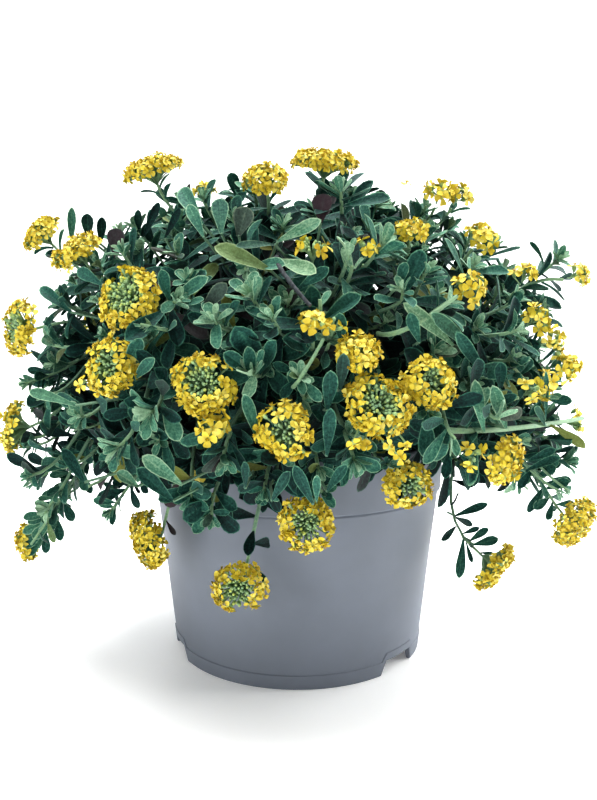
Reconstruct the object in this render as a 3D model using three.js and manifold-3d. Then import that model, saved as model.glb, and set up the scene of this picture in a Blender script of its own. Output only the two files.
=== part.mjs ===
import * as THREE from 'three';
import { mergeVertices } from 'three/addons/utils/BufferGeometryUtils.js';
import Module from 'manifold-3d';

// A potted yellow mountain alyssum: a grey plastic pot, its soil, eleven leafy branches and the blooms.
// Units are millimetres, +Z is up, the front of the plant faces -Y and the pot stands on z = 0.

const wasm = await Module();
wasm.setup();

// Colours, from the plant
const POT_GREY = 0x7b828b;
const SOIL_BROWN = 0x2d241c;
const LEAF_GREEN = 0x3f5f4c;
const PETAL_YELLOW = 0xf2c512;

// Gap kept between pieces that touch
const SEAT_GAP = 0.3;

// Pot: a 13 cm grower's pot
const POT_SIDES = 32;
const RIM_RADIUS = 65;
const RIM_HEIGHT = 94.5;
const COLLAR_RADIUS = 62.5;
const COLLAR_HEIGHT = 72;
const COLLAR_STEP = 0.9;
const BASE_RADIUS = 54.5;
const WALL = 1.4;
const LIP = 2.2;
const FLOOR_HEIGHT = 7;
const FLOOR_THICKNESS = 1.6;
const NOTCH_HEIGHT = 6.2;
const NOTCH_HALF_ANGLE = 11.5;
const NOTCH_SLOPE_ANGLE = 2.5;
const NOTCH_AZIMUTHS = [50, 170, -70];
const DRAIN_COUNT = 4;
const DRAIN_RADIUS = 4;
const DRAIN_CIRCLE = 38;

// Soil
const SOIL_SIDES = 18;
const SOIL_TOP = 84;
const SOIL_CROWN = 1.8;
const HOLE_DEPTH = 13;
const HOLE_SIDES = 5;
const HOLE_RADIUS = 2.9;

// Stems
const WOOD_SIDES = 6;
const WOOD_TURN = 30;
const WOOD_RADIUS = 2.1;
const STEM_SIDES = 3;
const STEM_TURN = 30;
const STEM_RADIUS = 1.25;
const NECK_RADIUS = 0.85;
const FRAME_STEPS = 24;
const COLLAR_OFFSET = 3;

// The dense foliage inside the bush, round each branch's wood: [share of the branch, radius]
const CORE = [[0.2, 2], [0.36, 8], [0.52, 12], [0.7, 14], [0.87, 10], [1, 0]];
const CORE_LEAN = 28;

// Nodes: the short lengths of stem that leaves and side shoots grow from
const NODE_LENGTH = 1.7;
const SHOOT_FORKS = [0.16, 0.36];
const BARE_BEND = 0.3;
const SHORTEST_BENT = 34;
const LEAFY_SHARE = 0.54;

// Routes: sideways sways, then higher arches, and how handy a fork is
const SWAYS = [0, 5, -5, 10, -10];
const STEM_TRIES = 25;
const ROUTE_STEPS = 16;
const FREE_STEPS = 3;
const FORK_CHOICES = 12;
const FORK_LEAN = 0.5;
const BEND_COST = 22;
const SHORTEST_SHOOT = 20;
// How far a shoot's curve is pulled at its start and its end, as shares of its span
const START_PULL = 0.33;
const END_PULL = 0.28;
// How far a hanging shoot first swings out
const HANG_SWING = 8;

// Leaves
const LEAF_THICKNESS = 1.0;
const LEAF_WIDTH_RATIO = 0.37;
const LEAF_WIDEST = 0.6;
const LEAF_TIP_WIDTH = 0.3;
const LEAF_ROD = 1.1;
const LEAF_ROD_START = 1.5;

// Florets
const PETAL_REACH = 3.5;
const FLORET_PITCH = 7.2;
const FLORET_TILT = 38;
const FLORET_DEPTH = 2.4;
const SMALLEST_RING = 5.5;
const PEDICEL_LENGTH = 8.5;
const BUD_RISE = 1.6;
const TIP_HALF_WIDTH = 1.25;
const CLEFT = 1.35;
// Where neighbouring florets of a head join, from the middle between them: outwards, inwards and below
const JOINT_OUT = 1.3;
const JOINT_IN = 1.0;
const JOINT_BELOW = 1.1;

// The mound: an ellipsoid that the blooms lie on
const MOUND_CENTRE = 100;
const MOUND_RADIUS = 121;
const MOUND_RISE = 112;

// Branches: [name, azimuth, distance of the hole from the axis, distance and height of the end, core's share]
// Azimuth 0 is the front, 90 is +X.
const BRANCHES = [
  ['branch_left', -80, 27, 82, 150, 1],
  ['branch_front_left', -40, 27, 82, 150, 1],
  ['branch_front', 0, 27, 82, 150, 1],
  ['branch_front_right', 40, 27, 82, 150, 1],
  ['branch_right', 80, 27, 82, 150, 1],
  ['branch_back_right', 120, 27, 82, 150, 1],
  ['branch_back_far_right', 160, 27, 82, 150, 1],
  ['branch_back_far_left', 200, 27, 82, 150, 1],
  ['branch_back_left', 240, 27, 82, 150, 1],
];
// Upright branches: the same values, and they carry what stands steeply above them
const UPRIGHTS = [
  ['branch_centre_left', -90, 9, 20, 176, 0.75],
  ['branch_centre_right', 90, 9, 20, 174, 0.75],
];
const UPRIGHT_ELEVATION = 50;

// Blooms: [name, x, y, z of the centre, radius, azimuth and elevation that it faces].
// Blooms with the same name touch, and are one piece.
const BLOOMS = [
  ['bloom_top_left', -58, -30, 207, 12.5, -55, 72],
  ['bloom_crown_small', -43, 22, 205, 6.5, -30, 70],
  ['bloom_crown_front', -12, -55, 199, 9, -10, 52],
  ['bloom_crown', 11, -22, 211, 13.5, 10, 74],
  ['bloom_left_high', -109, -8, 180, 9.5, -72, 45],
  ['bloom_left_upper', -85, -45, 172, 9.5, -45, 38],
  ['bloom_front_left_ring', -56, -89, 155, 11.5, -22, 22],
  ['bloom_left_edge', -111, -38, 143, 11, -58, 4],
  ['bloom_left_ring', -60, -99, 131, 9.8, -18, 8],
  ['bloom_front_left', -29, -113, 128, 10.5, -8, 14],
  ['bloom_front_loose', -25, -115, 113, 6.2, 0, 50],
  ['bloom_left_low', -115, -42, 104, 11, -80, 8],
  ['bloom_left_hanging', -59, -56, 60, 11, -35, -22],
  ['bloom_pot_low', -21, -84, 51, 10.5, -10, -4],
  ['bloom_pot_middle', 3, -87, 76, 10.5, 0, 4],
  ['bloom_front_middle', -4, -120, 114, 9.3, -4, 8],
  ['bloom_front_big', 25, -116, 122, 10.8, 8, 24],
  ['bloom_front_upper', 19, -111, 139, 7.8, 5, 46],
  ['bloom_front_right', 42, -109, 128, 9, 12, 18],
  ['bloom_rim_right', 39, -86, 89, 9.3, 14, -6],
  ['bloom_right_hanging', 84, -32, 44, 10, 52, -38],
  ['bloom_right_drooping', 119, -20, 57, 10.5, 58, -28],
  ['bloom_right_low', 68, -100, 102, 7.6, 28, -12],
  ['bloom_right_sparse', 54, -107, 103, 5.5, 22, 5],
  ['bloom_right_chain', 90, -60, 147, 7.6, 50, 30],
  ['bloom_right_loose', 88, -78, 123, 6, 50, -15],
  ['bloom_right_inner', 76, -90, 124, 5.5, 30, 25],
  ['bloom_right_edge_high', 111, -42, 164, 6.5, 62, 22],
  ['bloom_right_high', 88, -46, 165, 6.3, 30, 58],
  ['bloom_right_upper', 59, -85, 158, 7, 18, 24],
  ['bloom_right_top', 70, -51, 178, 7.8, 34, 42],
  ['bloom_flat_right', 39, -76, 179, 6.8, 10, 74],
  ['bloom_front_bud', 23, -91, 171, 5.5, 10, 50],
  ['bloom_front_sparse', 5, -93, 171, 7.2, 0, 58],
  ['bloom_top_right', 57, -30, 197, 8, 20, 56],
  ['bloom_right_far', 124, -8, 101, 7.4, 72, 10],
  ['bloom_left_far', -122, -10, 46, 8.8, -88, -14],
  ['bloom_behind_leaves', 5, -109, 148, 5.5, 0, 62],
  ['bloom_back_right', 101, 44, 150, 10, 114, 24],
  ['bloom_back_right_low', 82, 84, 104, 10, 136, 2],
  ['bloom_back_high', 26, 72, 189, 9.5, 160, 50],
  ['bloom_back_middle', 16, 115, 128, 10, 172, 12],
  ['bloom_back_left_high', -52, 75, 171, 9, 215, 38],
  ['bloom_back_left_low', -58, 104, 105, 10, 210, 4],
  ['bloom_back_left', -104, 46, 138, 10, 246, 14],
];
// Smaller blooms that grow into a neighbour: [name, direction in its face, radius].
// Direction 0 is to the right of whoever looks at the bloom's face, and 90 is up.
const PARTNERS = [
  ['bloom_right_chain', -62, 8.2],
  ['bloom_top_right', 10, 7.2],
  ['bloom_behind_leaves', 5, 5.5],
  ['bloom_back_right', -70, 7.5],
  ['bloom_back_high', 175, 7],
  ['bloom_back_middle', 15, 7.5],
  ['bloom_back_left', -120, 7],
];
const PARTNER_OVERLAP = 4.5;
const PARTNER_TILT = 14;
// Lone florets: [name, x, y, z, azimuth, elevation]
const LONE_FLORETS = [
  ['floret_top_right', 41, -45, 197, 20, 60],
  ['floret_rim_left', -34, -86, 93, -12, 4],
];

// Sterile shoots: how many places the mound is divided into, and the lowest elevation they reach
const SHOOT_PLACES = 53;
const LOWEST_SHOOT = -24;
const LOWEST_FRONT_SHOOT = -6;
const POT_VIEW_HALF_ANGLE = 48;
const SHOOT_SINK = 0.88;
const BLOOM_CLEARANCE = 8;
// Shoots that lean over the rim in front: their azimuths, distance from the axis and height
const RIM_SHOOTS = [-62, -46, -31, -16, -2, 13, 29, 46];
const RIM_SHOOT_DISTANCE = 92;
const RIM_SHOOT_HEIGHT = 92;

const GOLDEN_ANGLE = 137.508;

// Steps between the keys of the draws for shoots, a shoot's nodes and a head's florets
const SHOOT_KEY_STEP = 101;
const NODE_KEY_STEP = 17;
const HEAD_KEY_STEP = 31;

function radians(degrees) {
  return degrees * Math.PI / 180;
}

// A repeatable draw from 0 to 1 for item i and purpose k
function draw(i, k) {
  const s = Math.sin(i * 12.9898 + k * 78.233) * 43758.5453;
  return s - Math.floor(s);
}

function between(low, high, share) {
  return low + (high - low) * share;
}

function facing(azimuth, elevation) {
  const a = radians(azimuth);
  const e = radians(elevation);
  return new THREE.Vector3(Math.sin(a) * Math.cos(e), -Math.cos(a) * Math.cos(e), Math.sin(e));
}

function around(azimuth, distance, height) {
  const a = radians(azimuth);
  return new THREE.Vector3(Math.sin(a) * distance, -Math.cos(a) * distance, height);
}

function along(origin, direction, distance) {
  return origin.clone().addScaledVector(direction, distance);
}

function azimuthOf(point) {
  return Math.atan2(point.x, -point.y) * 180 / Math.PI;
}

function turnBetween(a, b) {
  return Math.abs(((a - b + 540) % 360) - 180);
}

// Solids

// The closed solid of an indexed or plain geometry
function solidOf(geometry) {
  const plain = geometry.clone();
  plain.deleteAttribute('normal');
  plain.deleteAttribute('uv');
  const merged = mergeVertices(plain, 1e-4);
  const index = merged.index.array;
  const kept = [];
  for (let i = 0; i < index.length; i += 3) {
    const [a, b, c] = [index[i], index[i + 1], index[i + 2]];
    if (a !== b && b !== c && c !== a) {
      kept.push(a, b, c);
    }
  }
  const vertProperties = new Float32Array(merged.attributes.position.array);
  return new wasm.Manifold(new wasm.Mesh({ numProp: 3, vertProperties, triVerts: new Uint32Array(kept) }));
}

function geometryOf(solid) {
  const mesh = solid.getMesh();
  const geometry = new THREE.BufferGeometry();
  geometry.setAttribute('position', new THREE.BufferAttribute(new Float32Array(mesh.vertProperties), 3));
  geometry.setIndex(new THREE.BufferAttribute(new Uint32Array(mesh.triVerts), 1));
  return geometry;
}

// A solid of revolution about Z from a profile of [radius, height] that runs from axis to axis
function turned(profile, sides) {
  const points = profile.map(([r, z]) => new THREE.Vector2(r, z));
  return solidOf(new THREE.LatheGeometry(points, sides).rotateX(Math.PI / 2));
}

function upright(radius, sides, x, y, low, high) {
  const geometry = new THREE.CylinderGeometry(radius, radius, high - low, sides);
  geometry.rotateX(Math.PI / 2);
  geometry.translate(x, y, (low + high) / 2);
  return solidOf(geometry);
}

// A mesh gathered vertex by vertex, with its faces pointing out
class Skin {
  constructor() {
    this.vertices = [];
    this.faces = [];
  }

  point(p) {
    this.vertices.push(p.x, p.y, p.z);
    return this.vertices.length / 3 - 1;
  }

  at(id) {
    return new THREE.Vector3().fromArray(this.vertices, id * 3);
  }

  face(a, b, c) {
    this.faces.push(a, b, c);
  }

  geometry() {
    const geometry = new THREE.BufferGeometry();
    geometry.setAttribute('position', new THREE.Float32BufferAttribute(this.vertices, 3));
    geometry.setIndex(this.faces);
    return geometry;
  }

  solid() {
    const vertProperties = new Float32Array(this.vertices);
    return new wasm.Manifold(
      new wasm.Mesh({ numProp: 3, vertProperties, triVerts: new Uint32Array(this.faces) }));
  }
}

// Pot

function potRadius(height) {
  if (height >= COLLAR_HEIGHT) {
    return RIM_RADIUS;
  }
  return between(BASE_RADIUS, COLLAR_RADIUS, height / COLLAR_HEIGHT);
}

function notchSolid(azimuth) {
  const low = new THREE.Shape();
  const reach = BASE_RADIUS * 1.3;
  const wide = radians(NOTCH_HALF_ANGLE);
  low.moveTo(0, 0);
  low.lineTo(-Math.sin(wide) * reach, -Math.cos(wide) * reach);
  low.lineTo(Math.sin(wide) * reach, -Math.cos(wide) * reach);
  low.closePath();
  const geometry = new THREE.ExtrudeGeometry(low, { depth: NOTCH_HEIGHT + 1, bevelEnabled: false });
  const places = geometry.attributes.position;
  const narrow = Math.tan(radians(NOTCH_HALF_ANGLE - NOTCH_SLOPE_ANGLE)) / Math.tan(wide);
  for (let i = 0; i < places.count; i += 1) {
    if (places.getZ(i) > 1) {
      places.setX(i, places.getX(i) * narrow);
    }
  }
  geometry.translate(0, 0, -1);
  geometry.rotateZ(radians(azimuth));
  return solidOf(geometry);
}

function potGeometry() {
  const inner = (height) => potRadius(height) - WALL;
  const floorTop = FLOOR_HEIGHT + FLOOR_THICKNESS;
  const profile = [
    [0, FLOOR_HEIGHT],
    [BASE_RADIUS - WALL, FLOOR_HEIGHT],
    [BASE_RADIUS - WALL, 0],
    [BASE_RADIUS, 0],
    [COLLAR_RADIUS, COLLAR_HEIGHT],
    [COLLAR_RADIUS + COLLAR_STEP, COLLAR_HEIGHT + COLLAR_STEP],
    [RIM_RADIUS, RIM_HEIGHT - 1],
    [RIM_RADIUS - 0.7, RIM_HEIGHT],
    [RIM_RADIUS - LIP, RIM_HEIGHT],
    [COLLAR_RADIUS - WALL + COLLAR_STEP, COLLAR_HEIGHT + 2],
    [inner(floorTop), floorTop],
    [0, floorTop],
  ];
  let pot = turned(profile, POT_SIDES);
  NOTCH_AZIMUTHS.forEach((azimuth) => {
    const ring = upright(BASE_RADIUS - WALL - 8, 12, 0, 0, -2, NOTCH_HEIGHT + 2);
    pot = pot.subtract(notchSolid(azimuth).subtract(ring));
  });
  for (let i = 0; i < DRAIN_COUNT; i += 1) {
    const spot = around(i * 360 / DRAIN_COUNT, DRAIN_CIRCLE, 0);
    pot = pot.subtract(upright(DRAIN_RADIUS, 8, spot.x, spot.y, FLOOR_HEIGHT - 1, floorTop + 1));
  }
  return geometryOf(pot);
}

// Soil

function soilGeometry(holes) {
  const bottom = FLOOR_HEIGHT + FLOOR_THICKNESS + SEAT_GAP;
  const edge = SOIL_TOP - 1.5;
  const gap = WALL + SEAT_GAP + 0.3;
  const profile = [
    [0, bottom],
    [potRadius(bottom) - gap, bottom],
    [COLLAR_RADIUS - gap, COLLAR_HEIGHT],
    [COLLAR_RADIUS - gap, edge],
    [COLLAR_RADIUS - 9, SOIL_TOP],
    [0, SOIL_TOP + SOIL_CROWN],
  ];
  let soil = turned(profile, SOIL_SIDES);
  holes.forEach((hole) => {
    soil = soil.subtract(
      upright(HOLE_RADIUS, HOLE_SIDES, hole.x, hole.y, SOIL_TOP - HOLE_DEPTH, SOIL_TOP + 6));
  });
  return geometryOf(soil);
}

// Clearances: every finished piece is remembered as balls and rods, and what comes later keeps clear of them

const obstacles = [];

function distanceBetween(p, q, r, s) {
  const d1 = q.clone().sub(p);
  const d2 = s.clone().sub(r);
  const gap = p.clone().sub(r);
  const a = d1.lengthSq();
  const e = d2.lengthSq();
  const f = d2.dot(gap);
  let t1 = 0;
  let t2 = 0;
  if (a < 1e-9 && e < 1e-9) {
    return gap.length();
  }
  if (a < 1e-9) {
    t2 = THREE.MathUtils.clamp(f / e, 0, 1);
  } else {
    const c = d1.dot(gap);
    if (e < 1e-9) {
      t1 = THREE.MathUtils.clamp(-c / a, 0, 1);
    } else {
      const b = d1.dot(d2);
      const denominator = a * e - b * b;
      t1 = denominator > 1e-9 ? THREE.MathUtils.clamp((b * f - c * e) / denominator, 0, 1) : 0;
      t2 = (b * t1 + f) / e;
      if (t2 < 0 || t2 > 1) {
        t2 = THREE.MathUtils.clamp(t2, 0, 1);
        t1 = THREE.MathUtils.clamp((b * t2 - c) / a, 0, 1);
      }
    }
  }
  return along(p, d1, t1).sub(along(r, d2, t2)).length();
}

function remember(owner, from, to, radius) {
  obstacles.push({ owner, from: from.clone(), to: to.clone(), radius });
}

function rememberStem(owner, points, radius) {
  points.slice(1).forEach((p, i) => remember(owner, points[i], p, radius));
}

// True where a rod keeps clear of everything that was placed before it, apart from what is skipped
function isClear(from, to, radius, skipped) {
  return obstacles.every((o) => {
    if (skipped(o.owner)) {
      return true;
    }
    const reach = radius + o.radius + SEAT_GAP;
    const far = from.distanceTo(o.from) - from.distanceTo(to) - o.from.distanceTo(o.to);
    return far > reach || distanceBetween(from, to, o.from, o.to) > reach;
  });
}

// True where a ball keeps clear of the pot and the soil
function clearsPot(point, radius) {
  const out = Math.hypot(point.x, point.y);
  const margin = radius + 0.8;
  if (point.z < margin + 1) {
    return false;
  }
  if (point.z > RIM_HEIGHT + margin || out > potRadius(point.z) + margin) {
    return true;
  }
  return out < COLLAR_RADIUS - WALL - margin - 1 && point.z > SOIL_TOP + SOIL_CROWN + margin;
}

// Stems

// A stem along a curve, with a cross direction that is carried along it without twisting.
// Its profile lists [share, radius], and its forks the [from, to] shares that side shoots may grow from.
class Stem {
  constructor({ curve, across, sides, turn, profile, forks }) {
    Object.assign(this, { curve, sides, turn, profile });
    this.length = curve.getLength();
    this.forks = forks || SHOOT_FORKS.map((at) => [at, at + NODE_LENGTH / this.length]);
    this.children = new Map();
    this.normals = [];
    const normal = across.clone();
    let last = null;
    for (let i = 0; i <= FRAME_STEPS; i += 1) {
      const tangent = curve.getTangent(i / FRAME_STEPS).normalize();
      if (last) {
        normal.applyQuaternion(new THREE.Quaternion().setFromUnitVectors(last, tangent));
      }
      normal.addScaledVector(tangent, -normal.dot(tangent)).normalize();
      this.normals.push(normal.clone());
      last = tangent;
    }
  }

  radiusAt(at) {
    const k = Math.max(this.profile.findIndex(([share]) => share >= at), 1);
    const [low, high] = [this.profile[k - 1], this.profile[k]];
    return between(low[1], high[1], (at - low[0]) / (high[0] - low[0]));
  }

  // The ring of corners at a share of the stem's length, turned by some degrees
  ring(at, turn = this.turn) {
    const centre = this.curve.getPoint(at);
    const tangent = this.curve.getTangent(at).normalize();
    const step = Math.min(Math.floor(at * FRAME_STEPS), FRAME_STEPS - 1);
    const normal = this.normals[step].clone().lerp(this.normals[step + 1], at * FRAME_STEPS - step);
    normal.addScaledVector(tangent, -normal.dot(tangent)).normalize();
    const side = tangent.clone().cross(normal);
    const radius = this.radiusAt(at);
    return Array.from({ length: this.sides }, (_, j) => {
      const angle = radians(turn + j * 360 / this.sides);
      return along(along(centre, normal, Math.cos(angle) * radius), side, Math.sin(angle) * radius);
    });
  }

  // The faces between two rings: what grows there leaves from the middle of a face
  faces(from, to, turn = this.turn) {
    const low = this.ring(from, turn);
    const high = this.ring(to, turn);
    return low.map((corner, j) => {
      const next = (j + 1) % this.sides;
      const across = low[next].clone().sub(corner).normalize();
      const outward = across.clone().cross(high[j].clone().sub(corner)).normalize();
      const base = corner.clone().add(low[next]).add(high[j]).add(high[next]).multiplyScalar(0.25);
      return { base, across, outward, tangent: outward.clone().cross(across) };
    });
  }
}

function joinRings(skin, low, high) {
  const n = low.length;
  for (let j = 0; j < n; j += 1) {
    const next = (j + 1) % n;
    skin.face(low[j], low[next], high[next]);
    skin.face(low[j], high[next], high[j]);
  }
}

function closeStart(skin, ring) {
  for (let j = 1; j < ring.length - 1; j += 1) {
    skin.face(ring[0], ring[j + 1], ring[j]);
  }
}

function closeOnPoint(skin, ring, tip) {
  for (let j = 0; j < ring.length; j += 1) {
    skin.face(ring[j], ring[(j + 1) % ring.length], tip);
  }
}

// Opens one quad of a stem (a and b are its lower corners, c and d its upper ones) into a triangle of corners
function openFace(skin, [a, b, c, d], [right, left, keel]) {
  skin.face(d, left, right);
  skin.face(d, right, c);
  skin.face(a, keel, left);
  skin.face(a, left, d);
  skin.face(b, c, right);
  skin.face(b, right, keel);
  skin.face(a, b, keel);
}

// Leaves

// The corners of a leaf that leaves a stem face: edges and keel at its widest place, and its blunt tip
function leafShape({ base, across, outward, tangent }, leaf) {
  const angle = radians(leaf.angle);
  const direction = outward.clone().multiplyScalar(Math.sin(angle)).addScaledVector(tangent, Math.cos(angle));
  const up = tangent.clone().multiplyScalar(Math.sin(angle)).addScaledVector(outward, -Math.cos(angle));
  const middle = along(base, direction, leaf.length * LEAF_WIDEST);
  const end = along(along(base, direction, leaf.length), up, leaf.curl);
  const width = leaf.length * LEAF_WIDTH_RATIO;
  return {
    start: along(base, direction, LEAF_ROD_START),
    end,
    left: along(middle, across, -width / 2),
    right: along(middle, across, width / 2),
    keel: along(middle, up, -LEAF_THICKNESS),
    tipLeft: along(end, across, -width * LEAF_TIP_WIDTH),
    tipRight: along(end, across, width * LEAF_TIP_WIDTH),
  };
}

// The rods that stand for a leaf where its clearance is worked out: its two edges and its midrib
function leafRods({ start, left, right, tipLeft, tipRight, end }) {
  return [[start, left], [start, right], [start, end], [left, tipLeft], [right, tipRight]];
}

function leafIsClear(stem, shape) {
  const own = (owner) => owner === stem;
  const { start, left, right, keel, tipLeft, tipRight } = shape;
  return [start, left, right, keel, tipLeft, tipRight].every((p) => clearsPot(p, 0.6))
    && leafRods(shape).every(([from, to]) => isClear(from, to, LEAF_ROD, own));
}

function leafFaces(skin, quad, shape) {
  const [right, left, keel] = [shape.right, shape.left, shape.keel].map((p) => skin.point(p));
  const tipLeft = skin.point(shape.tipLeft);
  const tipRight = skin.point(shape.tipRight);
  openFace(skin, quad, [right, left, keel]);
  skin.face(left, tipLeft, tipRight);
  skin.face(left, tipRight, right);
  skin.face(keel, tipLeft, left);
  skin.face(keel, right, tipRight);
  skin.face(keel, tipRight, tipLeft);
}

// The tries for a leaf, from its natural place to shorter and more upright or more spread ones
function leafTries(leaf) {
  return [
    leaf,
    { ...leaf, length: leaf.length * 0.82 },
    { ...leaf, angle: leaf.angle - 16, length: leaf.length * 0.9 },
    { ...leaf, angle: leaf.angle + 18, length: leaf.length * 0.82 },
    { ...leaf, length: leaf.length * 0.62 },
  ];
}

function leafAt(stem, face, leaf, key) {
  const own = {
    length: leaf.length * between(0.86, 1.12, draw(key, 5)),
    angle: leaf.angle + between(-7, 7, draw(key, 6)),
    curl: between(-1.5, 2.5, draw(key, 7)),
  };
  const shape = leafTries(own).map((t) => leafShape(face, t)).find((s) => leafIsClear(stem, s));
  if (shape) {
    leafRods(shape).forEach(([from, to]) => remember(stem, from, to, LEAF_ROD));
  }
  return shape;
}

// Shoots

// Where a shoot runs from a stem's face to its tip, bent clear of everything that was placed before it
function shootCurve(branch, target, face) {
  const { base, arrival } = target;
  const span = face.base.distanceTo(base);
  const straight = base.clone().sub(face.base).normalize();
  const side = new THREE.Vector3(0, 0, 1).cross(straight).normalize();
  const out = new THREE.Vector3(base.x, base.y, 0).normalize();
  const hang = hanging(base);
  const isOwn = (owner) => owner === target.bloom;
  const isNear = (owner) => isOwn(owner) || branch.stems.includes(owner);
  for (let attempt = 0; attempt < STEM_TRIES; attempt += 1) {
    const lift = 5 * Math.floor(attempt / SWAYS.length) + (0.08 + 0.1 * hang) * span;
    const sway = SWAYS[attempt % SWAYS.length];
    const leaving = along(along(face.base, face.lead, span * START_PULL), out, HANG_SWING * hang);
    const p1 = along(leaving, side, sway);
    const p2 = along(along(base, arrival, -span * END_PULL), side, sway);
    p1.z += lift;
    p2.z += lift * 0.5;
    const curve = new THREE.CubicBezierCurve3(face.base, p1, p2, base);
    const points = curve.getPoints(ROUTE_STEPS);
    const clear = points.every((p, i) => i === 0 || (clearsPot(p, STEM_RADIUS + 0.4)
      && isClear(points[i - 1], p, STEM_RADIUS, i > FREE_STEPS ? isOwn : isNear)));
    if (clear) {
      return { curve, points };
    }
  }
  return null;
}

// Free stem faces of a branch that a shoot may grow from towards a target, the handiest first
function forksFor(branch, target) {
  const faces = [];
  branch.stems.forEach((stem) => stem.forks.forEach(([from, to], i) => {
    stem.faces(from, to).forEach((face, j) => {
      if (!stem.children.has(`${i} ${j}`)) {
        faces.push({ ...face, stem, key: `${i} ${j}` });
      }
    });
  }));
  return faces
    .filter(({ base }) => base.distanceTo(target.base) > SHORTEST_SHOOT)
    .map((face) => {
      const lead = face.outward.clone().addScaledVector(face.tangent, FORK_LEAN).normalize();
      const way = target.base.clone().sub(face.base);
      const bend = 1 - way.clone().normalize().dot(lead);
      return { ...face, lead, cost: way.length() + BEND_COST * bend };
    })
    .sort((a, b) => a.cost - b.cost)
    .slice(0, FORK_CHOICES);
}

// Adds a shoot to the branch, or returns null where no way to its place is free
function addShoot(branch, target, style, key) {
  for (const face of forksFor(branch, target)) {
    const route = shootCurve(branch, target, face);
    if (route) {
      const stem = new Stem({
        curve: route.curve,
        across: face.across,
        sides: STEM_SIDES,
        turn: STEM_TURN,
        profile: [[0, STEM_RADIUS], [1, style.endRadius]],
      });
      Object.assign(stem, { target, style, key });
      face.stem.children.set(face.key, stem);
      branch.stems.push(stem);
      rememberStem(stem, route.points, STEM_RADIUS);
      return stem;
    }
  }
  return null;
}

// Skins one node of a stem: each face opens into a shoot or a leaf, or stays plain
function joinNode(skin, low, high, growths) {
  low.forEach((corner, j) => {
    const next = (j + 1) % low.length;
    const quad = [corner, low[next], high[next], high[j]];
    if (growths[j]) {
      growths[j](quad);
    } else {
      skin.face(quad[0], quad[1], quad[2]);
      skin.face(quad[0], quad[2], quad[3]);
    }
  });
}

// The nodes of a stem in order: forks that carry shoots, then the leafy nodes near its end
function nodesOf(stem) {
  const forks = stem.forks.map(([from, to], i) => {
    const shoots = Array.from({ length: stem.sides }, (_, j) => stem.children.get(`${i} ${j}`));
    return { from, to, turn: stem.turn, shoots };
  });
  if (!stem.style) {
    return forks;
  }
  const used = forks.filter(({ shoots }) => shoots.some(Boolean));
  const leafy = stem.style.nodes
    .filter(([fromEnd]) => fromEnd < stem.length * LEAFY_SHARE)
    .map(([fromEnd, length, angle], i) => {
      const to = 1 - fromEnd / stem.length;
      const turn = stem.turn + 60 * (i + 1);
      return { from: to - NODE_LENGTH / stem.length, to, turn, leaf: { length, angle } };
    });
  const isBare = used.every(({ from }) => from < 0.2) && stem.length > SHORTEST_BENT;
  const bend = isBare ? [{ from: BARE_BEND, turn: stem.turn }] : [];
  return [...used, ...bend, ...leafy];
}

function skinStem(skin, stem, startIds) {
  let ids = startIds;
  let reached = 0;
  nodesOf(stem).forEach(({ from, to, turn, shoots, leaf }, n) => {
    if (from > reached) {
      const start = stem.ring(from, turn).map((p) => skin.point(p));
      joinRings(skin, ids, start);
      ids = start;
    }
    if (!to) {
      return;
    }
    const growths = stem.faces(from, to, turn).map((face, j) => {
      if (leaf) {
        const shape = leafAt(stem, face, leaf, stem.key + n * NODE_KEY_STEP + j);
        return shape && ((quad) => leafFaces(skin, quad, shape));
      }
      return shoots[j] && ((quad) => skinShoot(skin, shoots[j], quad));
    });
    const end = stem.ring(to, turn).map((p) => skin.point(p));
    joinNode(skin, ids, end, growths);
    ids = end;
    reached = to;
  });
  return ids;
}

function skinShoot(skin, stem, quad) {
  const start = stem.ring(COLLAR_OFFSET / stem.length).map((p) => skin.point(p));
  openFace(skin, quad, start);
  stem.style.finish(skin, stem, skinStem(skin, stem, start));
}

// The head of buds under a bloom: pedicels spread to a hexagon, with a corner at a floret, then a low dome
function finishBloom(skin, stem, lastIds) {
  const { centre, axis, core, phase } = stem.target.bloom;
  const [e1, e2] = crossAxes(axis);
  const first = skin.at(lastIds[0]).sub(stem.curve.getPoint(1));
  const wanted = Math.atan2(first.dot(e2), first.dot(e1));
  const turn = phase + Math.round((wanted - phase) * 3 / Math.PI) * Math.PI / 3;
  const brim = Array.from({ length: 6 }, (_, j) => {
    const angle = turn + j * Math.PI / 3;
    return skin.point(along(along(centre, e1, Math.cos(angle) * core), e2, Math.sin(angle) * core));
  });
  for (let j = 0; j < 3; j += 1) {
    const a = lastIds[j];
    const b = lastIds[(j + 1) % 3];
    const [p, q, r] = [brim[2 * j], brim[2 * j + 1], brim[(2 * j + 2) % 6]];
    skin.face(a, b, q);
    skin.face(a, q, p);
    skin.face(b, r, q);
  }
  closeOnPoint(skin, brim, skin.point(along(centre, axis, BUD_RISE + core * 0.25)));
}

function finishTip(skin, stem, lastIds) {
  const tip = along(stem.curve.getPoint(1), stem.curve.getTangent(1).normalize(), stem.style.tip);
  closeOnPoint(skin, lastIds, skin.point(tip));
}

// What a shoot bears: leafy nodes as [distance before its end, leaf length, leaf angle], and its end
const STYLES = {
  bloom: { nodes: [[17, 25, 54], [5, 18, 44]], endRadius: NECK_RADIUS, finish: finishBloom },
  floret: { nodes: [[12, 16, 45]], endRadius: 0.6, finish: finishTip, tip: 0.4 },
  leafy: { nodes: [[19, 29, 58], [9, 25, 50], [0.5, 18, 32]], endRadius: 0.9, finish: finishTip, tip: 2.5 },
};

// Blooms

// The two cross directions of a bloom's axis
function crossAxes(axis) {
  const guide = Math.abs(axis.z) < 0.9 ? new THREE.Vector3(0, 0, 1) : new THREE.Vector3(0, 1, 0);
  const e1 = guide.cross(axis).normalize();
  return [e1, axis.clone().cross(e1)];
}

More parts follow.
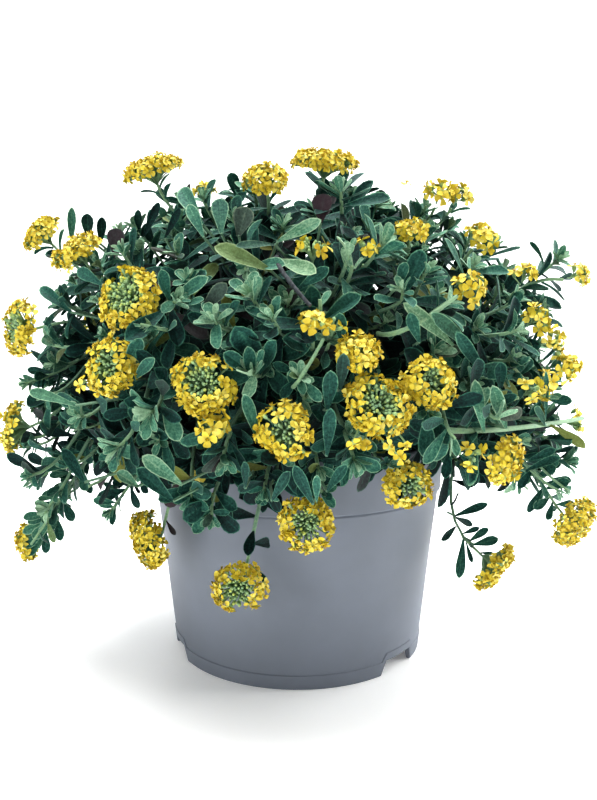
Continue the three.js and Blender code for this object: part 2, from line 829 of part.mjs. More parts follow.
function bloomOf(name, centre, size, axis, index) {
  const radius = Math.max(size, SMALLEST_RING);
  const ring = radius - PETAL_REACH * Math.cos(radians(FLORET_TILT));
  const florets = Math.max(4, Math.round(2 * Math.PI * ring / FLORET_PITCH));
  return {
    name,
    index,
    radius,
    ring,
    florets,
    phase: Math.PI * draw(index, 1) / florets,
    core: Math.max(ring - PETAL_REACH - 0.1, 0.8),
    centre,
    axis,
  };
}

function partnerOf([name, direction, size], index, blooms) {
  const main = blooms.find((bloom) => bloom.name === name);
  const [right, up] = crossAxes(main.axis);
  const turn = radians(direction);
  const away = right.multiplyScalar(Math.cos(turn)).addScaledVector(up, Math.sin(turn));
  const centre = along(main.centre, away, main.radius + size - PARTNER_OVERLAP);
  const tilt = radians(PARTNER_TILT);
  const axis = main.axis.clone().multiplyScalar(Math.cos(tilt)).addScaledVector(away, Math.sin(tilt));
  return bloomOf(name, along(centre, main.axis, -1), size, axis, index);
}

// A ring of four-petalled florets that share the tips of their side petals
function bloomSolid(bloom) {
  const { centre, axis, ring, florets, core, phase, index } = bloom;
  const skin = new Skin();
  const [e1, e2] = crossAxes(axis);
  const places = Array.from({ length: florets }, (_, i) => {
    const phi = phase + 2 * Math.PI * i / florets;
    const out = e1.clone().multiplyScalar(Math.cos(phi)).addScaledVector(e2, Math.sin(phi));
    const key = index * HEAD_KEY_STEP + i;
    const tilt = radians(FLORET_TILT + between(-12, 12, draw(key, 2)));
    const spot = along(along(centre, out, ring), axis, between(-0.8, 0.8, draw(key, 3)));
    return {
      spot,
      normal: axis.clone().multiplyScalar(Math.cos(tilt)).addScaledVector(out, Math.sin(tilt)),
      outward: out.clone().multiplyScalar(Math.cos(tilt)).addScaledVector(axis, -Math.sin(tilt)),
      across: axis.clone().cross(out),
      radial: out,
    };
  });
  const joints = places.map((place, i) => {
    const next = places[(i + 1) % florets];
    const middle = place.spot.clone().add(next.spot).multiplyScalar(0.5);
    const flat = middle.clone().sub(centre);
    const out = flat.addScaledVector(axis, -flat.dot(axis)).normalize();
    const slope = along(out.clone().multiplyScalar(0.85), axis, -0.5);
    const normal = place.normal.clone().add(next.normal).normalize();
    return {
      outer: skin.point(along(middle, slope, JOINT_OUT)),
      inner: skin.point(along(middle, slope, -JOINT_IN)),
      under: skin.point(along(middle, normal, -JOINT_BELOW)),
    };
  });
  places.forEach((place, i) => {
    const { spot, normal, outward, across, radial } = place;
    const before = joints[(i + florets - 1) % florets];
    const after = joints[i];
    const at = (u, v) => along(along(spot, outward, u), across, v);
    const reach = PETAL_REACH * between(0.92, 1.08, draw(index * HEAD_KEY_STEP + i, 4));
    const innerTip = along(along(centre, radial, core + SEAT_GAP + 0.15), axis, 0.5);
    const tipA = skin.point(at(reach, -TIP_HALF_WIDTH));
    const tipB = skin.point(at(reach, TIP_HALF_WIDTH));
    const cleftA = skin.point(at(CLEFT, -CLEFT));
    const cleftB = skin.point(at(CLEFT, CLEFT));
    const inner = skin.point(innerTip);
    const heart = skin.point(along(spot, normal, -0.35));
    const calyx = skin.point(along(spot, normal, -FLORET_DEPTH));
    const rim = [tipA, tipB, cleftB, after.outer, after.inner, inner, before.inner, before.outer, cleftA];
    const rimBelow = [
      tipA, tipB, cleftB, after.outer, after.under, after.inner, inner,
      before.inner, before.under, before.outer, cleftA,
    ];
    rim.forEach((p, k) => skin.face(heart, p, rim[(k + 1) % rim.length]));
    rimBelow.forEach((p, k) => skin.face(calyx, rimBelow[(k + 1) % rimBelow.length], p));
  });
  return skin.solid();
}

// One floret of four broad petals, seen from its front as a cross
function floretSolid(centre, axis) {
  const skin = new Skin();
  const [e1, e2] = crossAxes(axis);
  const at = (u, v, w) => along(along(along(centre, e1, u), e2, v), axis, w);
  const rim = [];
  for (let k = 0; k < 4; k += 1) {
    [[PETAL_REACH, -20], [PETAL_REACH, 20], [1.7, 45]].forEach(([reach, turn]) => {
      const angle = radians(45 + k * 90 + turn);
      rim.push(skin.point(at(Math.cos(angle) * reach, Math.sin(angle) * reach, 0.3)));
    });
  }
  const heart = skin.point(at(0, 0, -0.1));
  const calyx = skin.point(at(0, 0, -FLORET_DEPTH));
  rim.forEach((p, k) => {
    const next = rim[(k + 1) % rim.length];
    skin.face(heart, p, next);
    skin.face(calyx, next, p);
  });
  return skin.solid();
}

// The balls that keep other pieces clear of a bloom
function rememberBloom(bloom) {
  const [e1, e2] = crossAxes(bloom.axis);
  for (let i = 0; i < bloom.florets * 2; i += 1) {
    const phi = Math.PI * (i + 0.5) / bloom.florets;
    const out = e1.clone().multiplyScalar(Math.cos(phi)).addScaledVector(e2, Math.sin(phi));
    const inside = along(along(bloom.centre, out, bloom.ring - 1.2), bloom.axis, -0.4);
    const outside = along(along(bloom.centre, out, bloom.ring + 1.2), bloom.axis, -0.9);
    remember(bloom, inside, outside, 2.3);
  }
}

// Branches

function branchOf([name, azimuth, holeDistance, endDistance, endHeight, share]) {
  const hole = around(azimuth, holeDistance, SOIL_TOP);
  const end = around(azimuth, endDistance, endHeight);
  const low = hole.clone().setZ(SOIL_TOP + 16);
  const lean = along(end, end.clone().sub(low).normalize(), -CORE_LEAN);
  const forks = CORE.slice(0, -2).map(([at], i) => [at, CORE[i + 1][0]]);
  const core = CORE.map(([at, radius]) => [at, Math.max(radius * share, WOOD_RADIUS * 0.9)]);
  const wood = new Stem({
    curve: new THREE.CubicBezierCurve3(hole, low, lean, end),
    across: around(azimuth + 90, 1, 0),
    sides: WOOD_SIDES,
    turn: WOOD_TURN,
    profile: [[0, WOOD_RADIUS], ...core],
    forks,
  });
  const steps = wood.curve.getPoints(ROUTE_STEPS);
  const radii = steps.map((_, i) => wood.radiusAt(i / ROUTE_STEPS));
  steps.slice(1).forEach((p, i) => remember(wood, steps[i], p, Math.min(radii[i], radii[i + 1])));
  return { name, azimuth, hole, wood, stems: [wood] };
}

// The whole branch in one skin, from its foot in the soil
function branchGeometry({ hole, wood }) {
  const skin = new Skin();
  const footHeight = SOIL_TOP - HOLE_DEPTH + SEAT_GAP;
  const mouth = wood.ring(0);
  const foot = mouth.map((p) => skin.point(p.clone().setZ(footHeight + p.z - hole.z)));
  closeStart(skin, foot);
  const start = mouth.map((p) => skin.point(p));
  joinRings(skin, foot, start);
  closeOnPoint(skin, skinStem(skin, wood, start), skin.point(wood.curve.getPoint(1)));
  return skin.geometry();
}

// The branch that carries a point of the mound
function branchFor(point, branches, uprights) {
  const out = Math.hypot(point.x, point.y);
  const elevation = Math.atan2(point.z - MOUND_CENTRE, out) * 180 / Math.PI;
  const choice = elevation > UPRIGHT_ELEVATION ? uprights : branches;
  const azimuth = azimuthOf(point);
  return choice.reduce((best, branch) => (
    turnBetween(azimuth, branch.azimuth) < turnBetween(azimuth, best.azimuth) ? branch : best));
}

// Places for the sterile shoots, spread evenly over the mound and away from the blooms
function shootTips(blooms) {
  const tips = [];
  const lowest = Math.sin(radians(LOWEST_SHOOT));
  for (let i = 0; i < SHOOT_PLACES; i += 1) {
    const rise = 0.985 - (0.985 - lowest) * (i + 0.5) / SHOOT_PLACES;
    const azimuth = i * GOLDEN_ANGLE;
    const level = Math.sqrt(1 - rise * rise);
    const reach = SHOOT_SINK * between(0.93, 1.03, draw(i, 21));
    const spot = around(azimuth, level * MOUND_RADIUS * reach, MOUND_CENTRE + rise * MOUND_RISE * reach);
    const inPotView = turnBetween(azimuthOf(spot), 0) < POT_VIEW_HALF_ANGLE;
    const tooLow = inPotView && rise < Math.sin(radians(LOWEST_FRONT_SHOOT));
    const crowded = blooms.some((b) => b.centre.distanceTo(spot) < b.radius + BLOOM_CLEARANCE);
    if (!tooLow && !crowded) {
      tips.push(spot);
    }
  }
  RIM_SHOOTS.forEach((azimuth, i) => {
    const distance = RIM_SHOOT_DISTANCE * between(0.95, 1.05, draw(i, 22));
    tips.push(around(azimuth, distance, RIM_SHOOT_HEIGHT + between(-6, 6, draw(i, 23))));
  });
  return tips;
}

function material(color, roughness) {
  return new THREE.MeshStandardMaterial({ color, roughness, metalness: 0 });
}

function addPiece(group, name, geometry, finish) {
  const mesh = new THREE.Mesh(geometry, finish);
  mesh.name = name;
  group.add(mesh);
}

// How far a tip hangs below the mound's edge, 0 to 1
function hanging(point) {
  return THREE.MathUtils.clamp((92 - point.z) / 25, 0, 1);
}

// The direction in which a stem grows where it reaches a point of the mound
function growth(point) {
  const out = new THREE.Vector3(point.x, point.y, 0);
  const far = out.length() / MOUND_RADIUS;
  out.normalize();
  const rise = THREE.MathUtils.clamp((point.z - MOUND_CENTRE) / MOUND_RISE, 0, 1);
  const rising = out.clone().multiplyScalar(1 - rise * 0.75).add(new THREE.Vector3(0, 0, rise + 0.35));
  const falling = out.clone().multiplyScalar(far * far).add(new THREE.Vector3(0, 0, -0.8));
  return rising.normalize().lerp(falling.normalize(), hanging(point)).normalize();
}

function buildPlant() {
  const mains = BLOOMS.map(([name, x, y, z, size, azimuth, elevation], i) => (
    bloomOf(name, new THREE.Vector3(x, y, z), size, facing(azimuth, elevation), i)));
  const partners = PARTNERS.map((row, i) => partnerOf(row, mains.length + i, mains));
  const blooms = [...mains, ...partners];
  const lone = LONE_FLORETS.map(([name, x, y, z, azimuth, elevation]) => (
    { name, centre: new THREE.Vector3(x, y, z), axis: facing(azimuth, elevation), radius: PETAL_REACH }));
  blooms.forEach(rememberBloom);
  lone.forEach((floret) => (
    remember(floret, floret.centre, along(floret.centre, floret.axis, -1), PETAL_REACH)));

  const branches = BRANCHES.map(branchOf);
  const uprights = UPRIGHTS.map(branchOf);
  let count = 0;
  const grow = (anchor, base, arrival, bloom, style) => {
    count += 1;
    const branch = branchFor(anchor, branches, uprights);
    const stem = addShoot(branch, { base, arrival, bloom }, style, count * SHOOT_KEY_STEP);
    if (!stem && bloom) {
      throw new Error(`no free way to ${bloom.name}`);
    }
  };
  blooms.forEach((bloom) => {
    const base = along(bloom.centre, bloom.axis, -PEDICEL_LENGTH);
    const turn = 0.7 * (1 - 0.7 * hanging(base));
    const arrival = growth(base).addScaledVector(bloom.axis, turn).normalize();
    grow(bloom.centre, base, arrival, bloom, STYLES.bloom);
  });
  lone.forEach((floret) => {
    const base = along(floret.centre, floret.axis, -FLORET_DEPTH - SEAT_GAP - 0.6);
    grow(floret.centre, base, floret.axis, floret, STYLES.floret);
  });
  shootTips([...blooms, ...lone]).forEach((spot) => (
    grow(spot, spot, growth(spot), null, STYLES.leafy)));

  const group = new THREE.Group();
  const all = [...branches, ...uprights];
  addPiece(group, 'pot', potGeometry(), material(POT_GREY, 0.45));
  addPiece(group, 'soil', soilGeometry(all.map((branch) => branch.hole)), material(SOIL_BROWN, 0.95));
  all.forEach((branch) => addPiece(group, branch.name, branchGeometry(branch), material(LEAF_GREEN, 0.7)));
  const heads = new Map();
  blooms.forEach((bloom) => {
    const solid = bloomSolid(bloom);
    heads.set(bloom.name, heads.has(bloom.name) ? heads.get(bloom.name).add(solid) : solid);
  });
  heads.forEach((solid, name) => addPiece(group, name, geometryOf(solid), material(PETAL_YELLOW, 0.6)));
  lone.forEach(({ name, centre, axis }) => (
    addPiece(group, name, geometryOf(floretSolid(centre, axis)), material(PETAL_YELLOW, 0.6))));
  return group;
}

export default buildPlant();
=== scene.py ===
"""A potted yellow mountain alyssum: felted leaves, young and woody stems, flower heads, a grower's pot and its soil.

Lengths are in millimetres, and become metres as a mesh is put into Blender. +Z is up and the front faces -Y.
An azimuth is 0 at the front and 90 at +X.
"""

import sys
import logging
from dataclasses import dataclass, field
from enum import Enum
from math import radians

import bpy
import numpy as np
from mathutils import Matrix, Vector


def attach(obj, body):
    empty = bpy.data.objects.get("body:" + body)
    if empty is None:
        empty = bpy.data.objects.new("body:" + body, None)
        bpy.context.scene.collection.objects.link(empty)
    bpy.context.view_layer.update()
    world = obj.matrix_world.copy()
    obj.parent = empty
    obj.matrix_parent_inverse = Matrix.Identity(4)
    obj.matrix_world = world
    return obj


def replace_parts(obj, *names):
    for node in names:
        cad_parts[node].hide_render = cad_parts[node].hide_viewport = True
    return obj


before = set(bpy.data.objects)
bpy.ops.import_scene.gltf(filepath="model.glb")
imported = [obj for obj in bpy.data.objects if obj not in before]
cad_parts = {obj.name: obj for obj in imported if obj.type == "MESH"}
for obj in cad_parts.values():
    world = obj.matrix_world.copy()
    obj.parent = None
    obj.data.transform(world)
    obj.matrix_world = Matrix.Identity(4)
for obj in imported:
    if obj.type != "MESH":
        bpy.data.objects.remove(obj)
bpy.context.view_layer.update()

LOG = logging.getLogger("alyssum")
MM = 0.001
GOLDEN_ANGLE = radians(137.508)
UP = np.array([0.0, 0.0, 1.0])
NOISE_RANGE = (0.3, 0.7)
LEAF_TRAITS = ("tone", "blush", "across", "edge", "under")
PETAL_TRAITS = ("tone", "along", "across")

Array = np.ndarray
Rng = np.random.Generator
Pair = tuple[float, float]
Triple = tuple[float, float, float]
Material = bpy.types.Material
Socket = bpy.types.NodeSocket


# Vectors, as whole arrays

def unit(vectors: Array) -> Array:
    """Each vector divided by its own length."""
    return vectors / np.maximum(np.linalg.norm(vectors, axis=-1, keepdims=True), 1e-9)


def square_to(vectors: Array, axis: Array) -> Array:
    """Each vector less its part along a unit axis, made of length 1."""
    return unit(vectors - np.sum(vectors * axis, axis=-1, keepdims=True) * axis)


def turned(angle: Array | float, first: Array, second: Array) -> Array:
    """Directions turned by an angle f from one axis A towards another B: cos f A + sin f B."""
    angle = np.asarray(angle)[..., None]
    return np.cos(angle) * first + np.sin(angle) * second


def along_and_off(vectors: Array, axis: Array) -> tuple[Array, Array]:
    """How far each vector runs along an axis, and how far off it."""
    along = vectors @ axis
    return along, np.linalg.norm(vectors - along[..., None] * axis, axis=-1)


def facing(azimuth: Array | float, elevation: Array | float) -> Array:
    """The direction at an azimuth and an elevation in degrees: (sin a cos e, -cos a cos e, sin e)."""
    a, e = np.radians(azimuth), np.radians(elevation)
    return np.stack([np.sin(a) * np.cos(e), -np.cos(a) * np.cos(e), np.sin(e) * np.ones_like(a)], axis=-1)


def around(azimuth: Array | float, distance: Array | float, height: Array | float) -> Array:
    """The point at an azimuth in degrees, a distance from the pot's axis and a height."""
    a = np.radians(azimuth)
    return np.stack([np.sin(a) * distance, -np.cos(a) * distance, height + 0.0 * a * distance], axis=-1)


def azimuth_of(points: Array) -> Array:
    """The azimuth in degrees of each point."""
    return np.degrees(np.arctan2(points[..., 0], -points[..., 1]))


def turn_between(a: Array, b: Array) -> Array:
    """The smaller turn between two azimuths in degrees."""
    return np.abs((a - b + 540.0) % 360.0 - 180.0)


def cross_axes(axis: Array) -> tuple[Array, Array]:
    """The two cross directions of a head's axis: one level, and one square to both.

    Args:
        axis: the unit direction that the head faces.

    Returns:
        The level direction and the other one.
    """
    guide = UP if abs(axis[2]) < 0.9 else np.array([0.0, 1.0, 0.0])
    level = unit(np.cross(guide, axis))
    return level, np.cross(axis, level)


def bezier(corners: Array, share: Array) -> Array:
    """Points of cubic curves: the four corners weighed by (1-t)^3, 3t(1-t)^2, 3t^2(1-t) and t^3.

    Args:
        corners: the corners, of shape (curves, 4, 3).
        share: the places along each curve from 0 to 1, of shape (curves, places).

    Returns:
        The points, of shape (curves, places, 3).
    """
    t = share[..., None]
    a, b, c, d = (corners[:, None, k, :] for k in range(4))
    return a * (1 - t) ** 3 + b * 3 * t * (1 - t) ** 2 + c * 3 * t * t * (1 - t) + d * t ** 3


def bezier_heading(corners: Array, share: Array) -> Array:
    """Unit tangents of cubic curves, from the sides of their corners weighed by (1-t)^2, 2t(1-t) and t^2.

    Args:
        corners: the corners, of shape (curves, 4, 3).
        share: the places along each curve from 0 to 1.

    Returns:
        The tangents, of shape (curves, places, 3).
    """
    t = share[..., None]
    a, b, c, d = (corners[:, None, k, :] for k in range(4))
    return unit((b - a) * (1 - t) ** 2 + (c - b) * 2 * t * (1 - t) + (d - c) * t * t)


def lengths_of(corners: Array) -> Array:
    """The length of each cubic curve, as that of 16 straight steps."""
    steps = np.tile(np.linspace(0, 1, 17), (len(corners), 1))
    return np.linalg.norm(np.diff(bezier(corners, steps), axis=1), axis=-1).sum(axis=1)


# Skins: closed sleeves of rings with a pole at each end

@dataclass
class Sleeves:
    """Alike closed skins: rings of corners from a start pole to an end pole, with traits on each corner.

    The rings run clockwise seen along the sleeve from its start, so that the faces point out.
    """

    rings: Array
    start: Array
    end: Array
    traits: dict[str, Array] = field(default_factory=dict)

    def corners(self) -> Array:
        """All corners, of shape (skins, corners, 3): the rings in order, then the start and the end."""
        flat = self.rings.reshape(len(self.rings), -1, 3)
        return np.concatenate([flat, self.start[:, None], self.end[:, None]], axis=1)


def sleeve_faces(stations: int, sides: int) -> tuple[Array, Array]:
    """Corner numbers of one sleeve's faces: a band of quads between neighbouring rings, and a fan on each pole.

    Args:
        stations: how many rings there are.
        sides: how many corners a ring has.

    Returns:
        The quads and the triangles.
    """
    i, j = np.meshgrid(np.arange(stations - 1), np.arange(sides), indexing="ij")
    k = (j + 1) % sides
    quads = np.stack([i * sides + j, i * sides + k, (i + 1) * sides + k, (i + 1) * sides + j], axis=-1)
    j = np.arange(sides)
    k = (j + 1) % sides
    last, start, end = (stations - 1) * sides, stations * sides, stations * sides + 1
    low = np.stack([np.full(sides, start), k, j], axis=-1)
    high = np.stack([last + j, last + k, np.full(sides, end)], axis=-1)
    return quads.reshape(-1, 4), np.concatenate([low, high])


@dataclass
class Heap:
    """Gathers sleeves for one piece, and puts them all into one mesh."""

    traits: tuple[str, ...] = ()
    points: list[Array] = field(default_factory=list)
    quads: list[Array] = field(default_factory=list)
    triangles: list[Array] = field(default_factory=list)
    values: dict[str, list[Array]] = field(default_factory=dict)
    count: int = 0

    def add(self, sleeves: Sleeves) -> None:
        """Adds alike sleeves to the heap, and counts their corners on from those it holds.

        Args:
            sleeves: the skins to add.
        """
        skins, stations, sides = sleeves.rings.shape[:3]
        if skins == 0:
            return
        corners = sleeves.corners()
        each = corners.shape[1]
        quads, triangles = sleeve_faces(stations, sides)
        step = self.count + np.arange(skins)[:, None, None] * each
        self.points.append(corners.reshape(-1, 3))
        self.quads.append((quads[None] + step).reshape(-1, 4))
        self.triangles.append((triangles[None] + step).reshape(-1, 3))
        for name in self.traits:
            value = sleeves.traits.get(name, np.zeros(each))
            self.values.setdefault(name, []).append(np.broadcast_to(value, (skins, each)).reshape(-1))
        self.count += skins * each

    def faces(self) -> int:
        """How many triangles the piece has."""
        return sum(2 * len(q) for q in self.quads) + sum(len(t) for t in self.triangles)

    def piece(self, name: str, finish: Material, slot: str, crease: float = 60.0) -> bpy.types.Object:
        """Makes the piece's object, smooth but for the edges that turn more than the crease.

        Args:
            name: the object's name.
            finish: its material.
            slot: the record's material slot, which is not used.
            crease: the angle in degrees past which an edge stays sharp.

        Returns:
            The object, which rides on the plant's body.
        """
        points = np.concatenate(self.points) * MM
        quads = np.concatenate(self.quads)
        triangles = np.concatenate(self.triangles)
        corners = np.concatenate([quads.ravel(), triangles.ravel()])
        starts = np.concatenate([np.arange(len(quads)) * 4, len(quads) * 4 + np.arange(len(triangles)) * 3])
        mesh = bpy.data.meshes.new(name)
        mesh.vertices.add(len(points))
        mesh.vertices.foreach_set("co", points.astype(np.float32).ravel())
        mesh.loops.add(len(corners))
        mesh.loops.foreach_set("vertex_index", corners.astype(np.int32))
        mesh.polygons.add(len(starts))
        mesh.polygons.foreach_set("loop_start", starts.astype(np.int32))
        mesh.polygons.foreach_set("use_smooth", np.ones(len(starts), dtype=bool))
        for trait in self.traits:
            layer = mesh.attributes.new(trait, "FLOAT", "POINT")
            layer.data.foreach_set("value", np.concatenate(self.values[trait]).astype(np.float32))
        mesh.update(calc_edges=True)
        mesh.set_sharp_from_angle(angle=radians(crease))
        mesh.materials.append(finish)
        piece = bpy.data.objects.new(name, mesh)
        bpy.context.scene.collection.objects.link(piece)
        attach(piece, "root")
        LOG.info("%s: %d triangles", name, self.faces())
        return piece


# Blades: leaves, petals and sepals

@dataclass(frozen=True)
class BladeForm:
    """What blades of one kind share: the rings along them, their section, their outline and their thickness.

    The section lists (across, under): across runs from -1 at the left edge to 1 at the right, and under is 1
    on the lower face.
    """

    stations: tuple[float, ...]
    section: tuple[Pair, ...]
    widening: float
    shoulder: float
    roundness: float
    stalk: float
    stalk_fade: float
    thickness: float
    stalk_thickness: float
    groove: float = 0.05
    cup_power: float = 1.4
    stalk_share: float = 0.3
    tip_start: float = 0.82
    tip_fade: float = 0.14

    def outline(self, t: Array) -> Array:
        """Half width over its greatest: t^widening (1 - t^shoulder)^roundness, plus a stalk that fades out.

        Args:
            t: shares of the length.

        Returns:
            The half width at each share.
        """
        fine = np.linspace(0, 1, 200)
        greatest = np.max(fine ** self.widening * (1 - fine ** self.shoulder) ** self.roundness)
        blade = t ** self.widening * (1 - t ** self.shoulder) ** self.roundness / greatest
        return blade + self.stalk * np.clip(1 - t / self.stalk_fade, 0, 1) ** 0.5


UPPER_AND_KEEL = ((-1, 0), (-0.5, 0), (0, 0), (0.5, 0), (1, 0), (0, 1))
DIAMOND = ((-1, 0), (0, 0), (1, 0), (0, 1))

LEAF = BladeForm((0, 0.14, 0.32, 0.5, 0.68, 0.83, 0.94), UPPER_AND_KEEL, 1.2, 2.6, 0.7, 0.16, 0.35, 0.4, 0.8, 0.12)
INNER_LEAF = BladeForm((0, 0.25, 0.5, 0.75, 0.92), DIAMOND, 1.15, 2.6, 0.7, 0.16, 0.35, 0.42, 0.8)
BUD_LEAF = BladeForm((0, 0.26, 0.5, 0.74, 0.92), DIAMOND, 0.9, 2.5, 0.72, 0.3, 0.5, 0.4, 0.7, 0.15)
PETAL = BladeForm((0.02, 0.34, 0.68, 0.92), DIAMOND, 1.05, 5.5, 0.55, 0.2, 0.5, 0.18, 0.28, 0.1)


@dataclass
class Blades:
    """Blades of one form, with one value for each blade in every array.

    ahead is the direction in which a blade leaves its anchor, and up the way its upper face looks there.
    bend is how far the blade turns down towards its tip, and twist how far it turns round its own length, both
    in radians. cup lifts the edges, as a share of the half width.
    """

    anchor: Array
    ahead: Array
    up: Array
    length: Array
    width: Array
    bend: Array
    cup: Array
    twist: Array
    tone: Array
    blush: Array

    def picked(self, mask: Array) -> "Blades":
        """The blades that a mask keeps."""
        return Blades(**{name: value[mask] for name, value in vars(self).items()})

    def midline(self, t: Array) -> Array:
        """Points on an arc of constant curvature: ahead by L sin(bt)/b, and down by L (1 - cos bt)/b.

        Args:
            t: shares of the length, of shape (places).

        Returns:
            The points, of shape (blades, places, 3).
        """
        turn = self.bend[:, None] * t
        run = self.length[:, None] * t * np.sinc(turn / np.pi)
        drop = self.length[:, None] * t * (turn / 2) * np.sinc(turn / (2 * np.pi)) ** 2
        return self.anchor[:, None] + run[..., None] * self.ahead[:, None] - drop[..., None] * self.up[:, None]

    def sleeves(self, form: BladeForm) -> Sleeves:
        """The blades' skins: the section is set across the midline, as wide as the outline, and twisted with t.

        The upper face lies cup |v|^power of the half width above the midline and has a groove along its middle.
        The lower face lies the thickness below it.

        Args:
            form: what the blades share.

        Returns:
            The skins.
        """
        t = np.array(form.stations)
        v, under = np.array(form.section, dtype=float).T
        turn = self.bend[:, None] * t
        normal = turned(turn, self.up[:, None], self.ahead[:, None])
        side = np.broadcast_to(np.cross(self.ahead, self.up)[:, None], normal.shape)
        twist = self.twist[:, None] * t
        side, normal = turned(twist, side, normal), turned(twist, normal, -side)
        half = form.outline(t) * self.width[:, None] / 2
        lift = self.cup[:, None, None] * half[..., None] * np.abs(v) ** form.cup_power
        lift = lift - form.groove * half[..., None] * (np.abs(v) < 0.1) * (1 - under)
        thick = form.thickness + (form.stalk_thickness - form.thickness) * np.clip(1 - t / form.stalk_share, 0, 1)
        lift = lift - under * thick[:, None]
        middle = self.midline(t)
        rings = (middle[:, :, None] + (half[..., None] * v)[..., None] * side[:, :, None]
                 + lift[..., None] * normal[:, :, None])
        start = rings[:, 0].mean(axis=1)
        end = self.midline(np.array([1.0]))[:, 0]
        at_tip = np.clip((t[:, None] - form.tip_start) / form.tip_fade, 0, 1) ** 2
        edge = np.abs(v) + (1 - np.abs(v)) * at_tip
        shares = {
            "across": np.append(np.broadcast_to(v, (len(t), len(v))).ravel(), [0, 0]),
            "along": np.append(np.repeat(t, len(v)), [0, 1]),
            "edge": np.append(edge.ravel(), [0.5, 1]),
            "under": np.append(np.broadcast_to(under, (len(t), len(v))).ravel(), [0.5, 0.0]),
            "tone": self.tone[:, None],
            "blush": self.blush[:, None],
        }
        return Sleeves(rings, start, end, shares)


def tubes(path: Array, radius: Array, sides: int, traits: dict[str, Array] | None = None) -> Sleeves:
    """Round skins along paths: at each point, radius times (cos f A + sin f T x A), square to the tangent T.

    Args:
        path: the middle lines, of shape (tubes, places, 3).
        radius: the radius at each place, of shape (tubes, places).
        sides: how many corners a ring has.
        traits: values for the corners.

    Returns:
        The skins.
    """
    heading = unit(np.gradient(path, axis=1))
    chord = unit(path[:, -1] - path[:, 0])
    guide = np.eye(3)[np.argmin(np.abs(chord), axis=-1)]
    first = square_to(np.broadcast_to(guide[:, None], path.shape), heading)
    second = np.cross(heading, first)
    f = np.arange(sides) * 2 * np.pi / sides
    spread = turned(f, first[:, :, None], second[:, :, None])
    rings = path[:, :, None] + radius[..., None, None] * spread
    return Sleeves(rings, path[:, 0], path[:, -1], traits or {})


def spindles(base: Array, axis: Array, length: Array, radius: Array, profile: tuple[Pair, ...],
             sides: int, traits: dict[str, Array] | None = None) -> Sleeves:
    """Round skins on straight axes whose radius follows a profile of (share of the length, share of the radius).

    Args:
        base: where each one starts, of shape (spindles, 3).
        axis: their unit directions.
        length: their lengths.
        radius: their greatest radii.
        profile: the rings between the two poles.
        sides: how many corners a ring has.
        traits: values for the corners.

    Returns:
        The skins.
    """
    share, swell = np.array(profile).T
    guide = np.eye(3)[np.argmin(np.abs(axis), axis=-1)]
    first = square_to(guide, axis)
    second = np.cross(axis, first)
    f = np.arange(sides) * 2 * np.pi / sides
    spread = turned(f, first[:, None], second[:, None])
    middle = base[:, None] + (length[:, None] * share)[..., None] * axis[:, None]
    rings = middle[:, :, None] + (radius[:, None] * swell)[..., None, None] * spread[:, None]
    return Sleeves(rings, base, base + length[:, None] * axis, traits or {})


# Finishes

def linear(colour: str) -> tuple[float, float, float, float]:
    """The linear colour of an sRGB hex value: c/12.92 up to 0.04045, and ((c + 0.055)/1.055)^2.4 above."""
    parts = [int(colour[k:k + 2], 16) / 255 for k in (1, 3, 5)]
    return tuple(c / 12.92 if c <= 0.04045 else ((c + 0.055) / 1.055) ** 2.4 for c in parts) + (1.0,)


def put(tree: bpy.types.NodeTree, kind: str, settings: dict | None = None,
        inputs: dict | None = None) -> bpy.types.Node:
    """Adds a node, sets it up and links it.

    Args:
        tree: the node tree that it joins.
        kind: the node's type.
        settings: its properties, where stops gives a colour ramp's list of (place, hex colour).
        inputs: its inputs by name or number, each a value, a hex colour or a socket to link from.

    Returns:
        The node.
    """
    node = tree.nodes.new(kind)
    for name, value in (settings or {}).items():
        if name == "stops":
            elements = node.color_ramp.elements
            while len(elements) < len(value):
                elements.new(0.5)
            for element, (place, colour) in zip(elements, value):
                element.position = place
                element.color = linear(colour)
        else:
            setattr(node, name, value)
    for key, value in (inputs or {}).items():
        if isinstance(value, Socket):
            tree.links.new(value, node.inputs[key])
        elif isinstance(value, str):
            node.inputs[key].default_value = linear(value)
        else:
            node.inputs[key].default_value = value
    return node


def per_millimetre(size: float) -> float:
    """The scale of a pattern on Object coordinates, which are metres, for features of a size in millimetres."""
    return 1.0 / (size * MM)


